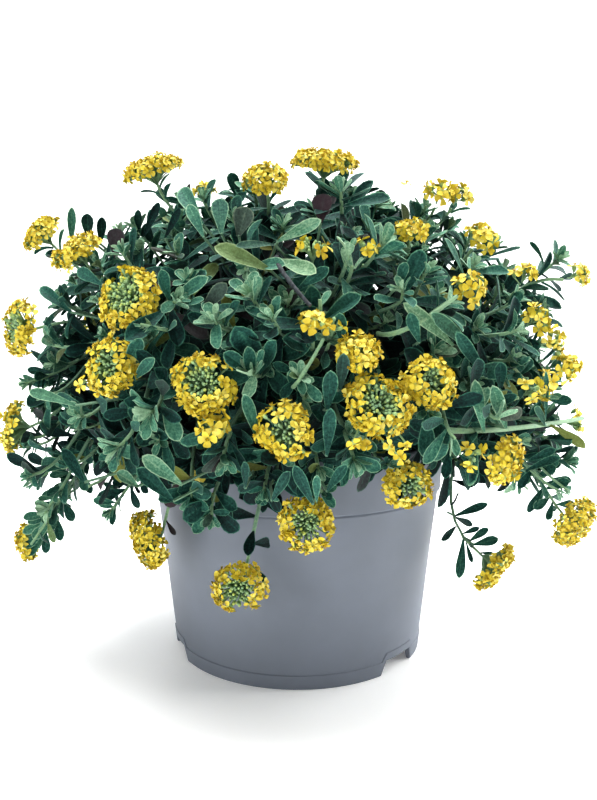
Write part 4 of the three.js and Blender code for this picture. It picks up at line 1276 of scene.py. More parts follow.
@dataclass
class Branch:
    """A woody branch from its hole in the soil, with the shoots that grow from it and their leaves."""

    name: str
    azimuth: float
    hole: float
    distance: float
    height: float
    lean: float = 28.0
    wood_radius: float = 2.1
    root_height: float = 74.0
    fork_cost: float = 22.0
    nearest_fork: float = 20.0
    short_cost: float = 60.0
    fork_shares: tuple[float, ...] = (0.25, 0.4, 0.55, 0.7, 0.85)
    straight_to: float = 100.0
    knots: float = 0.12
    first_run: float = 0.33
    last_run: float = 0.28
    arch: float = 0.08
    hanging_arch: float = 0.1
    overhang: float = 8.0
    pot_room: float = 2.0
    tries: int = 9
    lift_step: float = 5.0

    def wood(self) -> Array:
        """The corners of the wood's curve: straight up out of the soil, and then over towards its end.

        Returns:
            The corners, of shape (1, 4, 3).
        """
        foot = around(self.azimuth, self.hole, Soil.top)
        end = around(self.azimuth, self.distance, self.height)
        low = np.array([foot[0], foot[1], self.straight_to])
        return np.stack([foot, low, end - self.lean * unit(end - low), end])[None]

    def wood_skin(self, rng: Rng) -> Sleeves:
        """The wood: a tube that tapers to its end, with knots where its radius swells at random.

        Args:
            rng: the source of the disorder.

        Returns:
            Its skin.
        """
        share = np.linspace(0, 1, 40)
        path = bezier(self.wood(), share[None])
        path[0, 0, 2] = self.root_height
        radius = self.wood_radius * (1.25 - 0.75 * share)
        radius *= 1 + self.knots * rng.normal(0, 1, len(share)).clip(-1, 1.5)
        return tubes(path, radius[None], 8)

    def shoots(self, tips: Array, arrival: Array, run: Array, pot: Pot, mound: Mound) -> Array:
        """Curves from the wood to the tips, arched higher until they clear the pot.

        Args:
            tips: where the shoots end.
            arrival: the ways they point there.
            run: how far each shoot's last corner lies from its tip, or 0 for a share of its length.
            pot: the pot they keep clear of.
            mound: the dome they fill.

        Returns:
            The corners of the curves, of shape (tips, 4, 3).
        """
        share = np.array(self.fork_shares)[None]
        forks = bezier(self.wood(), share)[0]
        along = bezier_heading(self.wood(), share)[0]
        way = tips[:, None] - forks
        lead = unit(square_to(way, along[None]) + 0.5 * along)
        bend = 1 - np.sum(unit(way) * lead, axis=-1)
        distance = np.linalg.norm(way, axis=-1)
        cost = distance + self.fork_cost * bend + self.short_cost * (distance < self.nearest_fork)
        pick = np.argmin(cost, axis=1)
        rows = np.arange(len(tips))
        start, lead = forks[pick], lead[rows, pick]
        span = np.linalg.norm(tips - start, axis=1)[:, None]
        hang = mound.hanging(tips)[:, None]
        out = unit(tips * [1, 1, 0])
        lift = (self.arch + self.hanging_arch * hang) * span
        run = np.where(run > 0, run, self.last_run * span[:, 0])[:, None]
        steps = np.tile(np.linspace(0.08, 1, 14), (len(tips), 1))
        corners = np.zeros((len(tips), 4, 3))
        for _ in range(self.tries):
            second = start + lead * self.first_run * span + self.overhang * hang * out + lift * UP
            corners = np.stack([start, second, tips - arrival * run + 0.5 * lift * UP, tips], axis=1)
            fouls = ~pot.clears(bezier(corners, steps), self.pot_room).all(axis=1)
            lift = lift + self.lift_step * fouls[:, None]
        return corners


@dataclass(frozen=True)
class LeafRow:
    """Leaves up a shoot: how far below the tip each one stands, and how length, angle and tone change down it."""

    distances: tuple[float, ...]
    shortest: float
    longest: float
    full_at: float
    upright: float
    spread: float
    young: float
    old: float
    form: BladeForm
    ratio: Pair = (0.3, 0.44)
    purple_share: float = 0.055
    olive_share: float = 0.035
    bare_share: float = 0.3
    vigour: Pair = (0.68, 1.16)
    evenness: Pair = (0.8, 1.16)
    hanging_loss: float = 0.18
    turn_disorder: float = 0.2
    angle_disorder: float = 9.0
    tone_disorder: float = 0.1
    bend: Pair = (0.25, 0.3)
    cup: Pair = (0.22, 0.13)
    twist: float = 0.22

    def leaves(self, corners: Array, mound: Mound, rng: Rng) -> Blades:
        """Leaves in a spiral of the golden angle up each shoot.

        Each leaf leaves its shoot at an angle to it. Its upper face looks towards the shoot's tip, and turns
        part of the way to the light.

        Args:
            corners: the shoots' curves.
            mound: the dome that the shoots fill.
            rng: the source of the disorder.

        Returns:
            The leaves, all shoots' together.
        """
        length = lengths_of(corners)
        below = np.array(self.distances)
        count = len(corners) * len(below)
        share = 1 - below[None] / length[:, None]
        kept = (share > self.bare_share).ravel()
        share = np.clip(share, 0.02, 1)
        foot = bezier(corners, share).reshape(-1, 3)
        heading = bezier_heading(corners, share)
        chord = unit(corners[:, 3] - corners[:, 0])
        guide = np.broadcast_to(np.eye(3)[np.argmin(np.abs(chord), axis=-1)][:, None], heading.shape)
        first = square_to(guide, heading).reshape(-1, 3)
        heading = heading.reshape(-1, 3)
        second = np.cross(heading, first)
        order = np.tile(np.arange(len(below)), len(corners))
        f = (np.repeat(rng.uniform(0, 2 * np.pi, len(corners)), len(below)) + order * GOLDEN_ANGLE
             + rng.normal(0, self.turn_disorder, count))
        outward = turned(f, first, second)
        grown = np.clip(below / self.full_at, 0, 1)[order]
        vigour = np.repeat(rng.uniform(*self.vigour, len(corners)), len(below))
        hang = np.repeat(mound.hanging(corners[:, 3]), len(below))[:, None]
        angle = self.upright + (self.spread - self.upright) * np.sqrt(grown)
        angle = np.radians(angle + rng.normal(0, self.angle_disorder, count))
        size = (self.shortest + (self.longest - self.shortest) * grown ** 0.8) * vigour
        size *= rng.uniform(*self.evenness, count)
        size = size * (1 - self.hanging_loss * hang[:, 0])
        outer = unit(foot * [1, 1, 0])
        seen = np.where(foot[:, 1:2] < 30, np.array([0.0, -1.0, 0.0]), outer)
        light = unit(outer * (0.35 + 0.3 * hang) + np.array([0.0, -0.12, 1.0]) + 0.9 * hang * seen)
        ahead = unit(turned(angle, heading, outward) + 0.25 * UP * (hang - 0.2))
        own = turned(angle, -outward, heading)
        up = square_to((1 - 0.7 * hang) * own + (0.55 + 0.9 * hang) * light, ahead)
        tone = self.young + (self.old - self.young) * np.sqrt(grown) + rng.normal(0, self.tone_disorder, count)
        # Painted shade and light: the tone is darkened deep in the mound and low in front, where shade falls, and
        # lightened on hanging leaves, whose seen faces lie in shade.
        low = np.clip((110 - foot[:, 2]) / 25, 0, 1)
        shade = mound.depth(foot + 0.6 * size[:, None] * ahead) + 0.3 * low * (1 - hang[:, 0]) - 0.1 * hang[:, 0]
        blush = np.where(rng.uniform(size=count) < self.purple_share * grown, rng.uniform(0.45, 1, count), 0)
        blush = np.where(rng.uniform(size=count) < self.olive_share * grown, -rng.uniform(0.3, 0.9, count), blush)
        blades = Blades(
            anchor=foot + 0.5 * outward, ahead=ahead, up=up, length=size,
            width=size * rng.uniform(*self.ratio, count),
            bend=rng.normal(*self.bend, count) - 0.25 * (1 - grown),
            cup=rng.normal(*self.cup, count) + 0.12 * (1 - grown),
            twist=rng.normal(0, self.twist, count),
            tone=np.clip(tone - shade, 0, 1), blush=blush)
        return blades.picked(kept)


ROSETTE = LeafRow((0.2, 0.5, 0.8, 1.1, 1.5, 2.0, 2.6, 3.2, 3.9), 3.4, 8.6, 3.9, 14, 60, 0.95, 0.62, BUD_LEAF,
                  (0.42, 0.56))
LEAFY = LeafRow((5, 6.6, 8.4, 10.4, 12.7, 15.4, 18.5, 22, 26, 30.5, 36, 42, 49), 9.5, 18.5, 19.0, 50, 68, 0.58,
                0.2, LEAF, (0.3, 0.42))
# The inner leaves are older and darker, and their very dark tones are also painted shade that deepens the gaps inside
# the mound.
INNER = LeafRow((1, 4, 7.5, 11.5, 16, 21, 27, 34, 42), 9.0, 19.0, 16.0, 32, 68, 0.35, 0.05, INNER_LEAF)
UNDER_HEAD = LeafRow((2, 5, 8.5, 12.5, 17, 22, 27.5, 33.5, 40, 47), 7.0, 18.0, 20.0, 34, 64, 0.5, 0.25, LEAF,
                     (0.27, 0.38))
SPRAY = LeafRow((4, 6, 8, 10.2, 12.5, 14.8, 17.2, 19.8, 22.5, 25.5, 29, 33, 37.5, 42), 8.0, 14.0, 12.0, 34, 50, 0.66,
                0.42, LEAF, (0.38, 0.5))
ALONG_BARE = LeafRow((24, 31, 39, 46, 54, 61, 69, 76), 11.0, 17.0, 30.0, 60, 72, 0.6, 0.4, LEAF, (0.28, 0.36))


@dataclass
class Shoots:
    """Shoots of one kind, with one value for each in every array.

    ways are the directions in which they arrive at their tips, and runs the distances of their last corners from
    there, or 0 for a share of the length. rows says how leaves stand on them, thick is their radius where they
    start, and meant says that their leaves are meant to show.
    """

    tips: Array
    ways: Array
    runs: Array
    owners: Array
    rows: tuple[LeafRow, ...]
    thick: float = 1.0
    meant: bool = False

    def picked(self, mask: Array, rows: tuple[LeafRow, ...] | None = None, meant: bool | None = None) -> "Shoots":
        """The shoots that a mask keeps, which may get other leaves.

        Args:
            mask: which ones stay.
            rows: how leaves stand on them, if not as before.
            meant: whether their leaves are meant to show, if not as before.

        Returns:
            The shoots.
        """
        return Shoots(self.tips[mask], self.ways[mask], self.runs[mask], self.owners[mask], rows or self.rows,
                      self.thick, self.meant if meant is None else meant)


@dataclass
class Plant:
    """The whole plant: the branches, their shoots and leaves, and the heads, thinned where they would collide."""

    mound: Mound
    pot: Pot
    branches: list[Branch]
    uprights: list[Branch]
    heads: list[Head]
    upright_elevation: float = 50.0
    outer_shoots: int = 235
    inner_shoots: int = 250
    outer_reach: Pair = (0.86, 0.98)
    inner_reach: Pair = (0.45, 0.8)
    lowest_outer: float = -15.0
    lowest_inner: float = -8.0
    inner_start: float = 60.0
    front_half_angle: float = 48.0
    front_drop: float = 8.0
    crowding_room: float = 2.5
    drawn_back: float = 0.84
    hanging_below: float = 85.0
    head_depth: float = 4.5
    head_front: float = 16.0
    head_view: float = 45.0
    head_view_share: float = 0.82
    twig: float = 16.0
    short_twig: float = 3.0
    long_twigs_above: float = 88.0
    twig_radius: float = 0.5
    leaf_room: float = 0.4
    shoot_room: float = 3.2
    stem_room: float = 3.6
    eye: Triple = (0.4, -357.0, 152.0)
    blooms: dict[str, Heap] = field(default_factory=dict)

    def owners(self, points: Array) -> Array:
        """The number of the branch that carries each point: an upright one above the steep elevation.

        Args:
            points: the points, of shape (points, 3).

        Returns:
            The number for each point.
        """
        out = np.hypot(points[:, 0], points[:, 1])
        elevation = np.degrees(np.arctan2(points[:, 2] - self.mound.centre, out))
        azimuth = azimuth_of(points)[:, None]
        near = np.argmin(turn_between(azimuth, np.array([b.azimuth for b in self.branches])), axis=1)
        steep = np.argmin(turn_between(azimuth, np.array([b.azimuth for b in self.uprights])), axis=1)
        return np.where(elevation > self.upright_elevation, len(self.branches) + steep, near)

    def is_free(self, points: Array, room: float) -> Array:
        """True for each point outside every head's florets, and not close in front of a head.

        Args:
            points: the points, of shape (..., 3).
            room: how much is added to the heads' radii.

        Returns:
            The truth for each point.
        """
        free = np.ones(points.shape[:-1], dtype=bool)
        eye = np.array(self.eye)
        for head in self.heads:
            level, rho = along_and_off(points - head.centre, head.axis)
            free &= ~((rho < head.radius + room) & (np.abs(level) < self.head_depth + room))
            free &= ~((rho < head.radius - 0.5) & (level > 0) & (level < self.head_front))
            nearer, off = along_and_off(points - head.centre, unit(eye - head.centre))
            free &= ~((off < self.head_view_share * head.radius) & (nearer > 0) & (nearer < self.head_view))
        return free

    def is_behind(self, points: Array, stems_alone: bool = False) -> Array:
        """True for each point that isn't in front of a line that is meant to show.

        Args:
            points: the points, of shape (..., 3).
            stems_alone: whether only the bare stems count, and not the chosen leaves and shoots.

        Returns:
            The truth for each point.
        """
        lines = [(*stem.start, *stem.end, self.stem_room) for stem in BARE_STEMS]
        if not stems_alone:
            lines += [(*leaf[:6], 0.5 * leaf[6] + self.leaf_room) for leaf in CHOSEN_LEAVES]
            lines += [(*shoot, self.shoot_room) for shoot in CHOSEN_SHOOTS]
        behind = np.ones(points.shape[:-1], dtype=bool)
        eye = np.array(self.eye)
        for *ends, room in lines:
            a, b = np.array(ends[:3], dtype=float), np.array(ends[3:], dtype=float)
            view = unit(eye - (a + b) / 2)
            way = b - a
            flat = way - (way @ view) * view
            w = points - a
            w_flat = w - (w @ view)[..., None] * view
            t = np.clip(w_flat @ flat / (flat @ flat + 1e-6), 0, 1)
            off = np.linalg.norm(w_flat - t[..., None] * flat, axis=-1)
            behind &= ~((off < room) & (w @ view - t * (way @ view) > 0.3))
        return behind

    def clears_pot(self, blades: Blades) -> Array:
        """True for each leaf whose midline and edges keep clear of the pot.

        Args:
            blades: the leaves.

        Returns:
            The truth for each leaf.
        """
        line = blades.midline(np.array([0.25, 0.5, 0.75, 1.0]))
        side = np.cross(blades.ahead, blades.up)[:, None] * blades.width[:, None, None] * 0.45
        points = np.concatenate([line, line[:, 1:3] - side, line[:, 1:3] + side], axis=1)
        return self.pot.clears(points, 0.6).all(axis=1)

    def thinned(self, blades: Blades, chosen: bool = False) -> Blades:
        """The leaves that keep clear of the heads and the pot, once those that meet the pot are turned outwards.

        Args:
            blades: the leaves.
            chosen: whether they are meant to show, and so are kept only behind the bare stems.

        Returns:
            The leaves that stay.
        """
        out = unit(blades.anchor * [1, 1, 0])
        for _ in range(3):
            fouls = ~self.clears_pot(blades)[:, None]
            blades.ahead = unit(blades.ahead + 0.6 * fouls * out)
            blades.up = square_to(blades.up, blades.ahead)
        line = blades.midline(np.array([0.4, 0.6, 0.8, 1.0]))
        stays = self.is_free(line, 0.3).all(axis=1) & self.clears_pot(blades)
        return blades.picked(stays & self.is_behind(line, chosen).all(axis=1))

    def chosen_leaves(self, number: int) -> tuple[Blades, Array, Array]:
        """The leaves that stand out on one branch, each from its foot to its tip, turned up and to the front.

        Args:
            number: the branch's number.

        Returns:
            The leaves, and the two ends of the twig behind each one.
        """
        rows = np.array(CHOSEN_LEAVES, dtype=float)
        rows = rows[self.owners(rows[:, :3]) == number]
        rng = np.random.default_rng(400 + number)
        count = len(rows)
        foot, way = rows[:, :3], rows[:, 3:6] - rows[:, :3]
        bend = rng.normal(0.25, 0.12, count)
        ahead = unit(way)
        faced = unit(np.array(self.eye) - foot) + np.array([0.0, 0.0, 0.3]) + rng.normal(0, 0.14, (count, 3))
        up = square_to(faced, ahead)
        ahead = unit(ahead + 0.5 * bend[:, None] * up)
        blades = Blades(anchor=foot, ahead=ahead, up=square_to(up, ahead), length=np.linalg.norm(way, axis=1),
                        width=rows[:, 6], bend=bend, cup=rng.normal(0.2, 0.08, count),
                        twist=rng.normal(0, 0.15, count), tone=rows[:, 7], blush=rows[:, 8])
        inwards = unit(np.array([0.0, 0.0, self.mound.centre + 40]) - foot)
        reach = np.where(foot[:, 2:] > self.long_twigs_above, self.twig, self.short_twig)
        return blades, foot + reach * inwards - 0.35 * reach * blades.ahead, foot + 0.6 * blades.ahead

    def free_shoots(self, tips: Array, rows: tuple[LeafRow, ...], thick: float = 1.0) -> Shoots:
        """Shoots to a set of tips, which arrive there as the mound grows."""
        return Shoots(tips, self.mound.growth(tips), np.zeros(len(tips)), self.owners(tips), rows, thick)

    def chosen_shoots(self) -> Shoots:
        """The shoots that stand out.

        Returns:
            The shoots.
        """
        tips, start = np.split(np.array(CHOSEN_SHOOTS, dtype=float), 2, axis=1)
        way = tips - start
        return Shoots(tips, unit(way), np.linalg.norm(way, axis=1), self.owners(tips), (ROSETTE, LEAFY), meant=True)

    def head_stems(self) -> Shoots:
        """The stems of all heads, each of which ends where its head's pedicels leave it.

        Returns:
            The stems, in the order of the heads.
        """
        bases = np.array([head.base() for head in self.heads])
        axes = np.array([head.axis for head in self.heads])
        turn = 0.7 * (1 - 0.7 * self.mound.hanging(bases))[:, None]
        ways = unit(self.mound.growth(bases) + turn * axes)
        runs = np.zeros(len(bases))
        for k, head in enumerate(self.heads):
            if head.via:
                way = bases[k] - np.array(head.via, dtype=float)
                ways[k], runs[k] = unit(way), np.linalg.norm(way)
        return Shoots(bases, ways, runs, self.owners(np.array([head.centre for head in self.heads])), (UNDER_HEAD,))

    def all_shoots(self) -> list[Shoots]:
        """Every shoot and stem but the draped ones, kind by kind.

        The outer shoots are spread over the dome. In front below its edge, those that lean over the rim take their
        place. A shoot that would crowd a head or hide what is meant to show is drawn back into the dome.

        Returns:
            The shoots of each kind.
        """
        rng = np.random.default_rng(5)
        outer = self.mound.places(self.outer_shoots, rng.uniform(*self.outer_reach, self.outer_shoots),
                                  self.lowest_outer)
        in_front = turn_between(azimuth_of(outer), 0) < self.front_half_angle
        in_front &= outer[:, 2] < self.mound.centre - self.front_drop
        outer = np.concatenate([outer[~in_front], around(*np.array(RIM_TIPS, dtype=float).T)])
        crowded = ~self.is_free(outer, self.crowding_room) | ~self.is_behind(outer)
        middle = np.array([0.0, 0.0, self.mound.centre])
        outer = middle + (outer - middle) * np.where(crowded, self.drawn_back, 1.0)[:, None]
        inner = self.mound.places(self.inner_shoots, rng.uniform(*self.inner_reach, self.inner_shoots),
                                  self.lowest_inner, self.inner_start)
        hanging = around(*np.array(HANGING_TIPS, dtype=float).T)
        chosen = self.chosen_shoots()
        low = chosen.tips[:, 2] < self.hanging_below
        stems = self.head_stems()
        leafy = np.array([head.name in LEAFY_STEMS for head in self.heads])
        draped = np.array([head.name in DRAPED_STEMS for head in self.heads])
        return [
            self.free_shoots(outer, (ROSETTE, LEAFY)),
            self.free_shoots(hanging, (ROSETTE, SPRAY)),
            chosen.picked(~low),
            chosen.picked(low, (ROSETTE, SPRAY)),
            self.free_shoots(inner, (INNER,), 0.8),
            stems.picked(~leafy & ~draped),
            stems.picked(leafy, (SPRAY,), meant=True),
        ]

    def dress(self, corners: Array, rows: tuple[LeafRow, ...], thick: float, meant: bool, foliage: Heap, greens: Heap,
              rng: Rng) -> None:
        """Adds the skins of some stems to one heap, and their leaves to another.

        Args:
            corners: the stems' curves.
            rows: how their leaves are set.
            thick: the radius in millimetres where a stem starts.
            meant: whether the leaves are meant to show.
            foliage: the heap of the leaves.
            greens: the heap of the stems.
            rng: the source of the disorder.
        """
        stations, sides = (7, 4) if rows[0] is INNER else (13, 6)
        path = bezier(corners, np.tile(np.linspace(0, 1, stations), (len(corners), 1)))
        radius = thick * np.tile(np.linspace(1.0, 0.58, stations), (len(corners), 1))
        tone = np.append(np.repeat(np.linspace(0.15, 0.45, stations), sides), [0.15, 0.45])
        greens.add(tubes(path, radius, sides, {"tone": tone}))
        for row in rows:
            foliage.add(self.thinned(row.leaves(corners, self.mound, rng), meant).sleeves(row.form))

    def grow(self, number: int, branch: Branch, kinds: list[Shoots], foliage: Heap, greens: Heap, wood: Heap) -> None:
        """Grows one branch: its wood, its shoots kind by kind, what stands out on it, and its heads.

        Args:
            number: the branch's number.
            branch: the branch.
            kinds: every shoot of the plant.
            foliage: the heap of its leaves.
            greens: the heap of its young stems and all that is green in its heads.
            wood: the heap of its wood.
        """
        rng = np.random.default_rng(100 + number)
        wood.add(branch.wood_skin(rng))
        for shoots in kinds:
            mine = shoots.owners == number
            if mine.any():
                corners = branch.shoots(shoots.tips[mine], shoots.ways[mine], shoots.runs[mine], self.pot, self.mound)
                self.dress(corners, shoots.rows, shoots.thick, shoots.meant, foliage, greens, rng)
        heads = [head for head in self.heads if self.owners(head.centre[None])[0] == number]
        for head in heads:
            if head.name in DRAPED_STEMS:
                corners = np.array([[*DRAPED_STEMS[head.name], head.base()]], dtype=float)
                self.dress(corners, (UNDER_HEAD,), 1.0, True, foliage, greens, rng)
        blades, inner_end, outer_end = self.chosen_leaves(number)
        foliage.add(blades.sleeves(LEAF))
        twigs = bezier(np.stack([inner_end, inner_end, outer_end, outer_end], axis=1),
                       np.tile([0.0, 0.5, 1.0], (len(inner_end), 1)))
        greens.add(tubes(twigs, np.full(twigs.shape[:2], self.twig_radius), 5, {"tone": np.full(17, 0.35)}))
        for stem_number, bare in enumerate(BARE_STEMS):
            if self.owners(np.array([bare.start], dtype=float))[0] == number:
                (wood if bare.woody else greens).add(bare.skin(stem_number))
                foliage.add(self.thinned(ALONG_BARE.leaves(bare.corners(), self.mound, rng)).sleeves(LEAF))
        for head in heads:
            self.blooms.setdefault(head.name, Heap(PETAL_TRAITS))
            head.fill(self.blooms[head.name], greens)

    def build(self, leaf: Material, stem: Material, bark: Material, petal: Material) -> None:
        """Grows every branch with its heads, and makes its pieces.

        Args:
            leaf: the finish of the leaves.
            stem: the finish of young stems, pedicels and buds.
            bark: the finish of the wood.
            petal: the finish of the florets.
        """
        kinds = self.all_shoots()
        for number, branch in enumerate([*self.branches, *self.uprights]):
            foliage, greens, wood = Heap(LEAF_TRAITS), Heap(("tone",)), Heap()
            self.grow(number, branch, kinds, foliage, greens, wood)
            short = branch.name.replace("branch_", "")
            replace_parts(foliage.piece(f"leaves_{short}", leaf, "foliage"), branch.name)
            wood.piece(f"wood_{short}", bark, "foliage")
            greens.piece(f"stems_{short}", stem, "foliage")
        for name, heap in self.blooms.items():
            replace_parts(heap.piece(f"florets_bloom_{name}", petal, "petals"), f"bloom_{name}")


# What the plant is, head by head and branch by branch

BRANCHES = [Branch(f"branch_{name}", azimuth, 27, 82, 150) for name, azimuth in (
    ("left", -80), ("front_left", -40), ("front", 0), ("front_right", 40), ("right", 80), ("back_right", 120),
    ("back_far_right", 160), ("back_far_left", 200), ("back_left", 240))]
UPRIGHTS = [Branch("branch_centre_left", -90, 9, 20, 176), Branch("branch_centre_right", 90, 9, 20, 174)]

# The heads: name, place of the centre, radius, azimuth and elevation that they face, habit
BLOOMS = [
    ("top_left", -58, -30, 207, 12.5, -55, 72, Habit.FULL),
    ("crown_small", -43, 22, 205, 6.5, -30, 70, Habit.LOOSE),
    ("crown_front", -12, -55, 199, 9, -10, 52, Habit.FULL),
    ("crown", 11, -22, 211, 13.5, 10, 74, Habit.FULL),
    ("left_high", -111, -8, 183, 10, -62, 45, Habit.FULL),
    ("left_upper", -86, -45, 173.5, 10.2, -55, 50, Habit.FULL),
    ("front_left_ring", -57, -89, 155, 12, -22, 28, Habit.RINGED),
    ("left_edge", -112, -38, 142, 11.3, -48, 4, Habit.RINGED),
    ("left_ring", -61, -99, 132, 9.8, -18, 8, Habit.RINGED),
    ("front_left", -29, -113, 128, 10.5, -8, 14, Habit.RINGED),
    ("front_loose", -26, -115, 116, 6.8, 0, 50, Habit.LOOSE),
    ("left_low", -115, -42, 104, 11, -80, 8, Habit.RINGED),
    ("left_hanging", -60, -56, 60, 11.8, -60, -14, Habit.BALL),
    ("pot_low", -21, -84, 51, 10.5, -10, -4, Habit.RINGED),
    ("pot_middle", 3, -87, 76, 10.5, 0, 4, Habit.RINGED),
    ("front_middle", -4, -120, 114, 9.3, -4, 8, Habit.RINGED),
    ("front_big", 25, -116, 122, 10.8, 8, 24, Habit.RINGED),
    ("front_upper", 19, -111, 139, 7.8, 5, 46, Habit.FULL),
    ("front_right", 42, -109, 128, 9, 12, 18, Habit.RINGED),
    ("rim_right", 39, -86, 89, 9.3, 14, -6, Habit.RINGED),
    ("right_hanging", 84, -32, 41.5, 12.5, 64, -34, Habit.FULL),
    ("right_drooping", 121, -22, 57, 12, 44, -22, Habit.BALL),
    ("right_low", 70, -99, 100, 8.8, 44, -8, Habit.FULL),
    ("right_sparse", 56, -107, 104, 5.5, 22, 5, Habit.SPARSE),
    ("right_chain", 90, -60, 147, 7.6, 50, 30, Habit.LOOSE),
    ("right_loose", 88, -78, 123, 6, 50, -15, Habit.LOOSE),
    ("right_inner", 80, -88, 123, 5.5, 30, 25, Habit.SPARSE),
    ("right_edge_high", 111, -42, 164, 6.5, 62, 22, Habit.LOOSE),
    ("right_high", 88, -46, 165, 6.3, 30, 58, Habit.LOOSE),
    ("right_upper", 59, -85, 158, 7, 18, 24, Habit.LOOSE),
    ("right_top", 70, -51, 178, 7.8, 34, 42, Habit.LOOSE),
    ("flat_right", 39, -76, 179, 6.8, 10, 74, Habit.FULL),
    ("front_bud", 23, -91, 171, 5.5, 10, 50, Habit.SPARSE),
    ("front_sparse", 5, -93, 171, 7.2, 0, 58, Habit.SPARSE),
    ("top_right", 57, -30, 197, 8, 20, 56, Habit.LOOSE),
    ("right_far", 124, -8, 101, 7.4, 72, 10, Habit.SPARSE),
    ("left_far", -122, -10, 46, 8.8, -88, -14, Habit.FULL),
    ("behind_leaves", 5, -109, 148, 6, 0, 74, Habit.LOOSE),
    ("back_right", 101, 44, 150, 10, 114, 24, Habit.RINGED),
    ("back_right_low", 82, 84, 104, 10, 136, 2, Habit.RINGED),
    ("back_high", 26, 72, 189, 9.5, 160, 50, Habit.FULL),
    ("back_middle", 16, 115, 128, 10, 172, 12, Habit.RINGED),
    ("back_left_high", -52, 75, 171, 9, 215, 38, Habit.FULL),
    ("back_left_low", -58, 104, 105, 10, 210, 4, Habit.RINGED),
    ("back_left", -104, 46, 138, 10, 246, 14, Habit.RINGED),
]
# Clusters of florets on long stalks beside a head: direction in its face, and distance from its centre
SATELLITES = {
    "front_big": ((-118, 14.5), (-72, 15.5)),
    "left_ring": ((-140, 12.0),),
    "right_hanging": ((150, 13.0),),
    "right_drooping": ((170, 13.5),),
    "left_edge": ((20, 12.5),),
}
# A point that the last stretch of a head's stem comes from
STEM_WAYS = {
    "right_drooping": (96, -28, 72),
    "pot_low": (-12, -90, 84),
    "pot_middle": (5, -86, 95),
    "left_hanging": (-43, -62, 84),
    "left_far": (-93, -22, 68),
    "left_edge": (-82, -30, 147),
    "left_low": (-85, -34, 107),
    "left_high": (-94, -12, 164),
    "right_edge_high": (87, -38, 162),
}
# Stems that come down over the rim: the first three corners of their curves
DRAPED_STEMS = {
    "right_hanging": ((71, -12, 141), (96, 10, 118), (50, 14, 60)),
}
# Heads whose stems are leafy up to them
LEAFY_STEMS = ("left_far", "left_low", "right_drooping")
# Shoots that lean over the rim in front: azimuth, distance from the axis and height of the tip
RIM_TIPS = [
    (-66, 88, 94), (-56, 93, 91), (-46, 90, 97), (-37, 94, 92), (-28, 88, 96), (-19, 92, 90), (-10, 87, 95),
    (-2, 90, 92), (7, 88, 102), (16, 92, 105), (25, 88, 103), (34, 92, 100), (43, 90, 92), (53, 92, 95),
]
# Leafy shoots that hang below the dome, in the same way
HANGING_TIPS = [
    (-62, 104, 88), (-51, 100, 84), (-81, 104, 84), (-96, 112, 62), (66, 106, 90), (77, 116, 74),
    (90, 115, 86), (104, 112, 64), (122, 112, 70), (148, 105, 62), (168, 108, 76), (186, 110, 62),
    (208, 108, 72), (228, 112, 60), (248, 110, 74),
]
